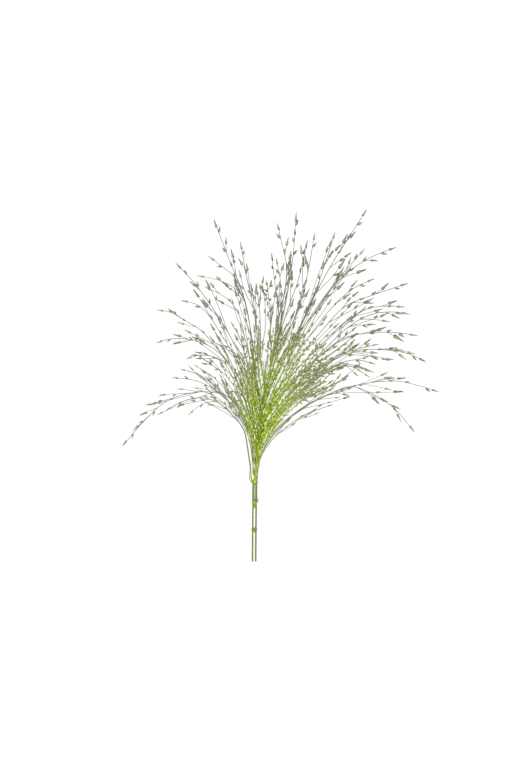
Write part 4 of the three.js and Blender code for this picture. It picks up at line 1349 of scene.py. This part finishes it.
# %% Mesh a side spikelet, and any limb
SIDE_BUD, SIDE_PLUMPNESS = 5.5, 1.1
SIDE_BUD_SIZES = (0.9, 1.08)
SIDE_STALKS = (0.8, 1.7)
YOUNG_BUD_SIZES = (0.8, 1.05)
YOUNG_STALK = 1.0
YOUNG_PLUMPNESS = 1.32
STALK_RADII = (0.3, 0.22, 0.19)
STALK_PLACES = (0, 0.4, 0.8)
CUP_SHARE = 0.065  # the radius of the cup under a side bud, as a share of the bud's length
CUP_RIM, BUD_FOOT = 0.2, 0.15  # both are this far above the stalk, so the cup holds the bud


def mesh_spikelet(surface, limb, draw):
    root, towards = limb.fine.points[0], unit(limb.fine.points[-1] - limb.fine.points[0])
    if limb.kind == "young":
        length, stalk, plump = YOUNG_LENGTH * lerp(*YOUNG_BUD_SIZES, draw()), YOUNG_STALK, YOUNG_PLUMPNESS
    else:
        length = SIDE_BUD * lerp(*SIDE_BUD_SIZES, draw()) * growth_at(root)
        stalk, plump = lerp(*SIDE_STALKS, draw()), SIDE_PLUMPNESS
    fars = [place * stalk for place in STALK_PLACES] + [stalk + CUP_RIM]
    radii = (*STALK_RADII, CUP_SHARE * length)
    tube(surface, [root + towards * far for far in fars], radii, THIN_SIDES, RIDGE, draw())
    set_bud(surface, root + towards * (stalk + BUD_FOOT), towards, length, draw, plump)


def mesh_limbs(surface, limbs, draw):
    for limb in limbs:
        if limb.kind in ("spikelet", "young"):
            mesh_spikelet(surface, limb, draw)
        elif limb.kind in ("primary", "stout", "twig"):
            mesh_branch(surface, limb, draw)


print("a side spikelet is", SIDE_BUD, "mm long")

# %% [markdown]
# ## Finishes
#
# All the finishes are made of nodes. Painted pictures could show one stem as well, but they would blur on
# others and in close views. Each finish starts from a few plain colours, lets the values kept at the points
# choose between them, and adds a fine irregular grain, because nothing that grew is one even colour.
#
# Wiring nodes by hand takes many lines, so a few small classes do the steps that come back in every finish.

# %% Mix a colour from its code
def colour(code):
    """A colour written as on a paint card, in the linear values that Blender counts in."""
    parts = [int(code[i:i + 2], 16) / 255 for i in (1, 3, 5)]
    return (*[p / 12.92 if p <= 0.04045 else ((p + 0.055) / 1.055) ** 2.4 for p in parts], 1)


print("a fresh green counts as", [round(value, 2) for value in colour("#88a104")[:3]])

# %% Start a material and wire its nodes
COAT_ROUGHNESS = 0.25


class Wiring:
    def __init__(self, name, roughness, coat, gloss=0.5):
        self.material = bpy.data.materials.new(name)
        self.material.use_nodes = True
        self.tree = self.material.node_tree
        self.shader = self.tree.nodes["Principled BSDF"]
        self.shader.inputs["Roughness"].default_value = roughness
        self.shader.inputs["Coat Weight"].default_value = coat
        self.shader.inputs["Coat Roughness"].default_value = COAT_ROUGHNESS
        self.shader.inputs["Specular IOR Level"].default_value = gloss

    def node(self, kind, **settings):
        made = self.tree.nodes.new(kind)
        for key, value in settings.items():
            setattr(made, key, value)
        return made

    def plug(self, source, socket):
        self.tree.links.new(source, socket)

    def paint(self, source):
        self.plug(source, self.shader.inputs["Base Color"])

    def kept(self, name):
        """A value kept at the points."""
        return self.node("ShaderNodeAttribute", attribute_name=name).outputs["Fac"]


print("a material can:", [step for step in vars(Wiring) if not step.startswith("_")])

# %% Mix and shade colours
FACTOR, FIRST_COLOUR, SECOND_COLOUR, MIXED_COLOUR = 0, 6, 7, 2  # the places of a Mix node's sockets


class Colours(Wiring):
    def ramp(self, factor, stops):
        made = self.node("ShaderNodeValToRGB")
        for _ in range(len(stops) - 2):  # a new ramp has two stops already
            made.color_ramp.elements.new(0.5)
        for element, (place, code) in zip(made.color_ramp.elements, stops):
            element.position = place
            element.color = colour(code)
        self.plug(factor, made.inputs["Fac"])
        return made.outputs["Color"]

    def mix(self, factor, first, second):
        made = self.node("ShaderNodeMix", data_type="RGBA")
        for value, place in ((factor, FACTOR), (first, FIRST_COLOUR), (second, SECOND_COLOUR)):
            if isinstance(value, bpy.types.NodeSocket):
                self.plug(value, made.inputs[place])
            else:
                made.inputs[place].default_value = value
        return made.outputs[MIXED_COLOUR]

    def spread(self, value, low, high):
        made = self.node("ShaderNodeMapRange")
        self.plug(value, made.inputs["Value"])
        made.inputs["To Min"].default_value = low
        made.inputs["To Max"].default_value = high
        return made.outputs["Result"]

    def times(self, first, second):
        made = self.node("ShaderNodeMath", operation="MULTIPLY", use_clamp=True)
        self.plug(first, made.inputs[0])
        self.plug(second, made.inputs[1])
        return made.outputs["Value"]

    def shade(self, source, value, low, high):
        """Makes a colour `low` times as light where the value is 0, and `high` times where it is 1."""
        made = self.node("ShaderNodeHueSaturation")
        self.plug(source, made.inputs["Color"])
        self.plug(self.spread(value, low, high), made.inputs["Value"])
        return made.outputs["Color"]


print("and with its colours it can:", [step for step in vars(Colours) if not step.startswith("_")])

# %% Add grain and bumps
class Finish(Colours):
    def grain(self, stretch, detail=3.0):
        """An irregular grain; `stretch` says how many grains there are to the metre along each axis."""
        place = self.node("ShaderNodeTexCoord").outputs["Object"]
        mapping = self.node("ShaderNodeMapping")
        mapping.inputs["Scale"].default_value = stretch
        self.plug(place, mapping.inputs["Vector"])
        noise = self.node("ShaderNodeTexNoise")
        noise.inputs["Scale"].default_value = 1.0
        noise.inputs["Detail"].default_value = detail
        self.plug(mapping.outputs["Vector"], noise.inputs["Vector"])
        return noise.outputs["Fac"]

    def bump(self, height, distance):
        """Makes the light fall as on a surface this many metres rough; the surface itself stays smooth."""
        made = self.node("ShaderNodeBump")
        made.inputs["Distance"].default_value = distance
        self.plug(height, made.inputs["Height"])
        self.plug(made.outputs["Normal"], self.shader.inputs["Normal"])


print("and a finish can:", [step for step in vars(Finish) if not step.startswith("_")])

# %% [markdown]
# The branches are yellow-green in the heart of the head and turn grey-green towards their tips. Their
# furrows are darkened with painted shade, and the skin is waxy enough to gleam a little along the top. The
# stout branch has a painted highlight on top of its swollen foot.

# %% Make the branch finish
GREY_TO_GREEN = [(0, "#7c7c78"), (0.2, "#818564"), (0.45, "#8c9752"), (0.7, "#8b9d28"), (1, "#88a104")]
# the colour of the painted highlight on top of the stout branch's foot
FOOT_HIGHLIGHT_COLOUR = "#b3c088"
PAINTED_FURROW_SHADES = (0.6, 0.72)  # painted shade: how light a furrow is against its ridge, where grey and where fresh
BRANCH_GRAIN, BRANCH_GRAIN_SHADES = (900, 300, 900), (0.8, 1.18)
BRANCH_TINT_SHADES = (0.88, 1.12)
BRANCH_PORES, BRANCH_PORE_DEPTH = (2500, 700, 2500), 0.00004

branch_finish = Finish("branch skin", roughness=0.55, coat=0.0, gloss=0.25)
fresh = branch_finish.kept("fresh")
skin = branch_finish.ramp(fresh, GREY_TO_GREEN)
# painted shade in the furrows
furrow = branch_finish.shade(skin, fresh, *PAINTED_FURROW_SHADES)
furrow_shaded = branch_finish.mix(branch_finish.kept("edge"), skin, furrow)
grainy = branch_finish.shade(furrow_shaded, branch_finish.grain(BRANCH_GRAIN), *BRANCH_GRAIN_SHADES)
tinted = branch_finish.shade(grainy, branch_finish.kept("tint"), *BRANCH_TINT_SHADES)
# painted highlight on top of the stout branch's foot
branch_finish.paint(branch_finish.mix(branch_finish.kept("pale"), tinted, colour(FOOT_HIGHLIGHT_COLOUR)))
branch_finish.bump(branch_finish.grain(BRANCH_PORES), BRANCH_PORE_DEPTH)
print("branch finish:", len(branch_finish.tree.nodes), "nodes")

# %% [markdown]
# The scales of a spikelet are palest in the middle of their backs and olive along their edges and at their
# points. Those in the heart are young and almost yellow. No two spikelets have quite the same shade.

# %% Make the spikelet finish
BACKS = [(0, "#9da47b"), (0.2, "#a4ae6e"), (0.45, "#b8c276"), (0.7, "#c6d170"), (1, "#cad56c")]
RIMS = [(0, "#5f6354"), (0.2, "#626949"), (0.45, "#7a8749"), (0.7, "#93a933"), (1, "#a6bd2e")]
SCALE_GRAIN, SCALE_GRAIN_SHADES = (1500, 1500, 1500), (0.78, 1.16)
SCALE_TINT_SHADES = (0.84, 1.1)
SCALE_PORES, SCALE_PORE_DEPTH = (3000, 3000, 3000), 0.00005

spikelet_finish = Finish("spikelet scales", roughness=0.5, coat=0.1, gloss=0.3)
fresh, edge = spikelet_finish.kept("fresh"), spikelet_finish.kept("edge")
scales = spikelet_finish.mix(edge, spikelet_finish.ramp(fresh, BACKS), spikelet_finish.ramp(fresh, RIMS))
grainy = spikelet_finish.shade(scales, spikelet_finish.grain(SCALE_GRAIN), *SCALE_GRAIN_SHADES)
spikelet_finish.paint(spikelet_finish.shade(grainy, spikelet_finish.kept("tint"), *SCALE_TINT_SHADES))
spikelet_finish.bump(spikelet_finish.grain(SCALE_PORES), SCALE_PORE_DEPTH)
print("spikelet finish:", len(spikelet_finish.tree.nodes), "nodes")

# %% [markdown]
# The stem's skin changes along its length: a brighter band at the first joint, a pale one at the second,
# where the leaf sheath ends, and a bright collar at the third. A painted highlight runs up the side that
# lies on top as a pale channel, and a yellow painted highlight sits on top of the collar. Both are streaked
# unevenly by the fine fibres that run lengthwise through the skin, so its grain is stretched along the stem.

# %% Make the stem's skin
SKIN_FROM, SKIN_TO = -0.160, -0.082  # the colours are spread over this stretch of the stem, in metres
# the colour of the painted highlight along the top of the stem
HIGHLIGHT_COLOUR = "#f8f9f4"
SKIN_COLOURS = [
    (0.0, "#565d3c"), (0.015, "#5a6e22"), (0.36, "#576c1e"), (0.386, "#667f1e"), (0.41, "#546a1c"),
    (0.66, "#5c711e"), (0.68, "#708a2c"), (0.70, "#8c9f42"), (0.72, "#566e1e"), (0.91, "#5f7722"),
    (0.94, "#6e8522"), (0.96, "#79922a"), (1.0, "#75900a"),
]
# the colours of the yellow painted highlight on top of the collar
COLLAR_HIGHLIGHT_COLOURS = [(0.35, "#a4b236"), (0.65, "#dbe468")]
FIBRES, FIBRE_DETAIL, FIBRE_DEPTH = (2400, 45, 2400), 5.0, 0.00008
FIBRE_SHADES = (0.66, 1.34)
PAINTED_RIB_SHADES = (0.7, 0.8)  # painted shade: how light the furrow beside a rib is
HIGHLIGHT_STREAKS = (0.35, 1.75)  # how strong the painted highlight is where the fibre grain is lowest, and where it is highest

skin_finish = Finish("stem skin", roughness=0.45, coat=0.1, gloss=0.22)
place = skin_finish.node("ShaderNodeSeparateXYZ")
skin_finish.plug(skin_finish.node("ShaderNodeTexCoord").outputs["Object"], place.inputs["Vector"])
along = skin_finish.node("ShaderNodeMapRange")
skin_finish.plug(place.outputs["Y"], along.inputs["Value"])
along.inputs["From Min"].default_value = SKIN_FROM
along.inputs["From Max"].default_value = SKIN_TO
skin = skin_finish.ramp(along.outputs["Result"], SKIN_COLOURS)
fibres = skin_finish.grain(FIBRES, FIBRE_DETAIL)
fibrous = skin_finish.shade(skin, fibres, *FIBRE_SHADES)
# painted shade in the furrows beside the ribs
shade_beside_ribs = skin_finish.kept("edge")
furrow_shaded = skin_finish.mix(shade_beside_ribs, fibrous, skin_finish.shade(fibrous, fibres, *PAINTED_RIB_SHADES))
# painted highlight along the top of the stem, streaked by the fibres
streaky_highlight = skin_finish.times(skin_finish.kept("pale"), skin_finish.spread(fibres, *HIGHLIGHT_STREAKS))
highlighted = skin_finish.mix(streaky_highlight, furrow_shaded, colour(HIGHLIGHT_COLOUR))
collar_highlight = skin_finish.ramp(fibres, COLLAR_HIGHLIGHT_COLOURS)
# on the stem the tint value marks the painted highlight on top of the collar
skin_finish.paint(skin_finish.mix(skin_finish.kept("tint"), highlighted, collar_highlight))
skin_finish.bump(fibres, FIBRE_DEPTH)
print("stem skin:", len(skin_finish.tree.nodes), "nodes")

# %% [markdown]
# The cut end shows a green wall round pale, spongy pith, and the torn edge of the sheath is dry and papery.
# One kind of grain does for both: it is even in the pith, and drawn out into veins along the sheath.

# %% Make the pith and the sheath's finish
PITH_TO_WALL = [(0, "#9c9f6d"), (0.55, "#c9cda2"), (0.8, "#b8c389"), (1, "#6f8a44")]
SHEATH_TO_EDGE = [(0, "#8ea45c"), (0.5, "#b3c088"), (1, "#d8d9b8")]
SPONGE, SPONGE_SHADES, SPONGE_DEPTH = (2600, 2600, 2600), (0.65, 1.25), 0.00015
VEINS, VEIN_SHADES, VEIN_DEPTH = (2600, 120, 2600), (0.7, 1.25), 0.0001
DRY_DETAIL = 4.0

pith_finish = Finish("pith", roughness=0.85, coat=0.0)
spongy = pith_finish.grain(SPONGE, DRY_DETAIL)
cut = pith_finish.ramp(pith_finish.kept("edge"), PITH_TO_WALL)
pith_finish.paint(pith_finish.shade(cut, spongy, *SPONGE_SHADES))
pith_finish.bump(spongy, SPONGE_DEPTH)

sheath_finish = Finish("sheath edge", roughness=0.6, coat=0.15)
veins = sheath_finish.grain(VEINS, DRY_DETAIL)
paper = sheath_finish.ramp(sheath_finish.kept("edge"), SHEATH_TO_EDGE)
sheath_finish.paint(sheath_finish.shade(paper, veins, *VEIN_SHADES))
sheath_finish.bump(veins, VEIN_DEPTH)
FINISHES = [finish.material for finish in (branch_finish, spikelet_finish, skin_finish, pith_finish)]
print("finishes:", [material.name for material in FINISHES])

# %% [markdown]
# The floor is the matt grey board that glows. A trace of cloudiness keeps it from being one flat value, and
# is too faint to show in the picture.

# %% Make the floor's finish
GLOW = 0.75
BOARD_GREYS = [(0, "#858585"), (1, "#8d8d8c")]
CLOUDS = (3, 3, 3)

floor_finish = Finish("glowing board", roughness=0.9, coat=0.0)
floor_finish.paint(floor_finish.ramp(floor_finish.grain(CLOUDS), BOARD_GREYS))
floor_finish.shader.inputs["Emission Color"].default_value = (1, 1, 1, 1)
floor_finish.shader.inputs["Emission Strength"].default_value = GLOW
floor.data.materials.append(floor_finish.material)
print("the floor glows with", GLOW)

# %% [markdown]
# ## The stem
#
# The culm is a hollow stalk that swells at each joint, where a leaf once sat. Between the joints it is
# ribbed by fine veins. One tube with a radius that follows the joints makes it, and the rachis above the
# collar is a second, thinner tube that starts inside the first.

# %% Say how thick and how pale the culm is
BULGE_HALF = 1.5
WAIST_DEPTH, WAIST_FROM, WAIST_HALF = 0.12, 2.7, 0.7  # beside a joint the stem is a little thinner
NARROWING_FROM, NARROWING_LENGTH = 0.7, 2.2  # above the last joint it narrows to the rachis
SKIN_PROUD = 0.1  # the ribs stand this far out of the solid
CHANNEL_HIGHLIGHT, SHEATHED_HIGHLIGHT = 1.0, 0.33  # how strong the painted highlight along the top is, below the second joint and above it
HIGHLIGHT_GAPS = (2.2, 4.2, 2.6)  # how far from each joint the painted highlight starts


def culm_radius(y):
    base = lerp(CULM_RADIUS, SHEATHED_RADIUS, min(max((y - JOINTS[1]) / JOINT_BULGE, 0), 1))
    for joint in JOINTS:
        base += JOINT_SWELLING * bell(y - joint, BULGE_HALF, 4)
        base -= WAIST_DEPTH * bell(abs(y - joint) - WAIST_FROM, WAIST_HALF)
    share = min(max((y - PANICLE_FOOT - NARROWING_FROM) / NARROWING_LENGTH, 0), 1)
    return lerp(base, RACHIS_FOOT_RADIUS, share * share * (3 - 2 * share)) + SKIN_PROUD


def culm_highlight(y):
    """Painted highlight on top: clear on the lower stretch, faint on the upper one, gone at the joints."""
    most = CHANNEL_HIGHLIGHT if y < JOINTS[1] else SHEATHED_HIGHLIGHT
    return most * min(1 - bell(y - joint, gap, 4) for joint, gap in zip(JOINTS, HIGHLIGHT_GAPS))


for where, y in (("below the first joint", -145), ("at the first joint", JOINTS[0])):
    print("the culm is", round(2 * culm_radius(y), 1), "mm thick", where)

# %% Mesh the culm
CULM_RIBS = 26
CULM_RIB_HEIGHT = 0.018
SKIN_STEP = 0.4
SKIN_TUCK = 0.15  # the skin's last ring is this much inside the rachis, so that no gap shows
CULM_END = 3.2  # the culm's skin ends this far above the last joint, on the rachis
COLLAR_HIGHLIGHT = (0.6, 1.0)  # the yellow painted highlight on the collar: its middle above the last joint, and how far it reaches
COLLAR_HIGHLIGHT_WRAP = 0.7  # below 1, it also reaches further round the stem than the painted highlight along the top does

culm_surface = Surface()
culm_ys = np.arange(AXIS[0][1], PANICLE_FOOT + CULM_END, SKIN_STEP)
culm_centres = [axis_at(y) for y in culm_ys]
culm_radii = [culm_radius(y) for y in culm_ys]
culm_radii[-1] = RACHIS_FOOT_RADIUS - SKIN_TUCK
# the painted highlight along the culm's top
culm_highlights = [culm_highlight(y) for y in culm_ys]
on_top = tube(
    culm_surface, culm_centres, culm_radii, 2 * CULM_RIBS, CULM_RIB_HEIGHT,
    tint=0, finish=SKIN_FINISH, highlights=culm_highlights,
)
# the culm's tint values carry the painted highlight on top of the collar
collar_highlight_band = np.array([bell(y - PANICLE_FOOT - COLLAR_HIGHLIGHT[0], COLLAR_HIGHLIGHT[1]) for y in culm_ys])
culm_surface.tint[-1] = (on_top ** COLLAR_HIGHLIGHT_WRAP * collar_highlight_band[:, None]).ravel()
print("culm:", len(culm_ys), "rings with", CULM_RIBS, "ribs")

# %% Mesh the rachis
RACHIS_END = 0.26
RACHIS_THINNING = 0.6  # below 1, it thins quickly at first
RACHIS_SIDES, RACHIS_RIDGE = 12, 0.05
MIDDLE_TINT = 0.5  # neither lighter nor darker than its colours

rachis_length = rachis.fine.length - TOP_BUD
rachis_fars = np.linspace(0, rachis_length, round(rachis_length / RING_STEP))
rachis_centres = [rachis.fine.at(far) for far in rachis_fars]
thinning = (rachis_fars / rachis_length) ** RACHIS_THINNING
rachis_radii = [lerp(RACHIS_FOOT_RADIUS, RACHIS_END, share) for share in thinning]
rachis_radii[-1] = CUP_RADIUS
tube(culm_surface, rachis_centres, rachis_radii, RACHIS_SIDES, RACHIS_RIDGE, MIDDLE_TINT)
print("rachis:", round(rachis_length), "mm long")

# %% [markdown]
# The cut end is a shallow bowl: the wall of the stem, a spongy edge of pith, and the hollow in the middle.
# Its profile is turned round the stem's middle line. The Screw modifier turns a profile too, but this one
# has to meet the stem's ribs point by point.

# %% Cut its end
CUT_PROFILE = [  # radius as a share of the stem's, depth, and how green
    (1.0, 0.0, 1.0), (0.93, -0.06, 0.9), (0.8, 0.0, 0.75), (0.7, 0.3, 0.6),
    (0.45, 0.5, 0.5), (0.3, 0.8, 0.2), (0.22, 2.4, 0.0), (0.01, 2.6, 0.0),
]

cut_along = unit(culm_centres[1] - culm_centres[0])
cut_frames = section_frames(culm_centres[:2], FIRST_SIDE)
corners, ribs = section(cut_frames[:1], 2 * CULM_RIBS, CULM_RIB_HEIGHT)
rim = corners[0] * ribs[:, None] * culm_radii[0]
cut_points, cut_green = [], []
for share, depth, green in CUT_PROFILE:
    cut_points.append(culm_centres[0] + cut_along * depth + rim * share)
    cut_green.append(np.full(len(rim), green))
cut_quads = grid_quads(len(CUT_PROFILE), len(rim), True)[:, ::-1]
cut_points, cut_green = np.concatenate(cut_points), np.concatenate(cut_green)
culm_surface.add(cut_points, cut_quads, PITH_FINISH, MIDDLE_TINT, cut_green)
print("the cut is", CUT_PROFILE[-1][1], "mm deep in its middle")

# %% Set the top of the stem and finish the culm
TOP_LOOK = 2.5  # the top spikelet follows the main stem's direction this far beyond its last ring

stem_draw = random_from(FIRST_SEED - 2)
top_direction = rachis.fine.direction(rachis_length + TOP_LOOK, BUD_REACH)
set_bud(culm_surface, rachis_centres[-1], top_direction, TOP_BUD, stem_draw, TOP_PLUMPNESS, TOP_DRAWN)
mesh_limbs(culm_surface, culm_limbs[2:], stem_draw)
culm = culm_surface.make("stem", FINISHES)
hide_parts("culm")
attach(culm, "root")
print("stem:", len(culm.data.polygons), "quads")

# %% [markdown]
# ## The torn sheath
#
# At the middle joint a scrap of the leaf sheath stands off the stem. It is a thin curved sheet that hugs
# the joint at its foot, flares outwards, narrows to its torn edge and is rippled by its veins. Such a sheet
# could be cut out of a cylinder, but a bare grid bent by a few formulas is easier to steer, and Blender's
# Solidify modifier gives it its thickness.

# %% Bend the scrap of sheath
SCRAP_FOOT = -107.6
SCRAP_HEIGHT = 6.2
SCRAP_MIDDLE, SCRAP_HALF_WIDTH = 0.35, 1.15  # radians round the stem from its right side
SCRAP_NARROWING, SCRAP_NARROWING_CURVE = 0.82, 1.2
SCRAP_OFF, SCRAP_FLARE = 0.15, 1.35  # how far it stands off at its foot, and further at its edge
SCRAP_SUNK, SCRAP_SUNK_OVER = 0.5, 0.09  # its foot is drawn into the joint, over this share of its height
SCRAP_VEINS, SCRAP_RIPPLE = 7, 0.04
TEAR_SLOPE, TEAR_CURVE = 0.16, 1.5  # its edge is torn lower at both sides
TEAR_WAVE, TEAR_WAVES = 0.05, 9  # and unevenly
SCRAP_ROWS, SCRAP_COLUMNS = 14, 11

height = np.linspace(0, 1, SCRAP_ROWS)[:, None]
across = np.linspace(-1, 1, SCRAP_COLUMNS)[None, :]
torn = 1 - TEAR_SLOPE * np.abs(across) ** TEAR_CURVE - TEAR_WAVE * np.sin(TEAR_WAVES * across) * height
narrow = 1 - SCRAP_NARROWING * height ** SCRAP_NARROWING_CURVE
angle = SCRAP_MIDDLE + across * SCRAP_HALF_WIDTH * narrow
radius = SHEATHED_RADIUS + JOINT_SWELLING + SCRAP_OFF + SCRAP_FLARE * height ** 2
radius = radius - SCRAP_SUNK * np.exp(-((height / SCRAP_SUNK_OVER) ** 2))
radius = radius + SCRAP_RIPPLE * np.cos(SCRAP_VEINS * math.pi * across)
scrap_along = axis_direction(SCRAP_FOOT)
scrap_right, scrap_up = across_from(scrap_along, SIDEWAYS)
points = axis_at(SCRAP_FOOT) + (SCRAP_HEIGHT * height * torn)[:, :, None] * scrap_along
points = points + (radius * np.cos(angle))[:, :, None] * scrap_right
points = points + (radius * np.sin(angle))[:, :, None] * scrap_up
scrap_edge = np.clip(np.maximum(height ** 2, np.abs(across) ** 4), 0, 1)
print("the scrap stands off by up to", round(float(radius.max() - SHEATHED_RADIUS), 1), "mm")

# %% Give it its thickness
SCRAP_THICKNESS = 0.3

scrap = Surface()
scrap_quads = grid_quads(SCRAP_ROWS, SCRAP_COLUMNS, False)
scrap.add(points.reshape(-1, 3), scrap_quads, finish=0, tint=MIDDLE_TINT, edge=scrap_edge.ravel())
sheath = scrap.make("sheath_scrap", [sheath_finish.material])
solidify = sheath.modifiers.new("thickness", "SOLIDIFY")
solidify.thickness = SCRAP_THICKNESS * MM
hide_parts("sheath_flap")
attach(sheath, "root")
print("sheath scrap:", len(sheath.data.polygons), "quads before it gets its thickness")

# %% [markdown]
# ## The sprays
#
# Each spray becomes one piece, with its branch, side branches, twigs, stalks and spikelets. It takes the
# place of its solid, and its box is compared with the solid's to be sure that it grew along the same lines.

# %% Mesh the sprays
BUD_SEED = 7000
FREE_BOX = 2.0  # a fine spray may reach this much further than its solid, in millimetres

for number, spray in enumerate(sprays):
    surface = Surface(spray["old"])
    mesh_limbs(surface, spray["limbs"], random_from(BUD_SEED + number))
    piece = surface.make(spray["name"] + "_fine", FINISHES[:2])
    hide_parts(spray["name"])
    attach(piece, "root")
    low, high = (np.array(corner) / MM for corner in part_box(spray["name"]))
    points = np.concatenate(surface.points)
    stray = max((low - points.min(axis=0)).max(), (points.max(axis=0) - high).max())
    if stray > FREE_BOX:
        print(spray["name"], "reaches", round(stray, 1), "mm further than its solid")
faces = sum(len(piece.data.polygons) for piece in bpy.data.objects if piece.type == "MESH")
print(len(sprays), "sprays, and with the solids that they replace", faces, "faces in all")

# %% [markdown]
# ## Measure and finish
#
# The dressed stem must be as large as its solids. Both boxes are written down for comparison.

# %% Compare the sizes and finish
fine_low, fine_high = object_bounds()
boxes = {"cad": [list(solid_low), list(solid_high)], "visual": [list(fine_low), list(fine_high)]}
for which, box in boxes.items():
    print(which, "box in mm:", [[round(value / MM, 1) for value in corner] for corner in box])
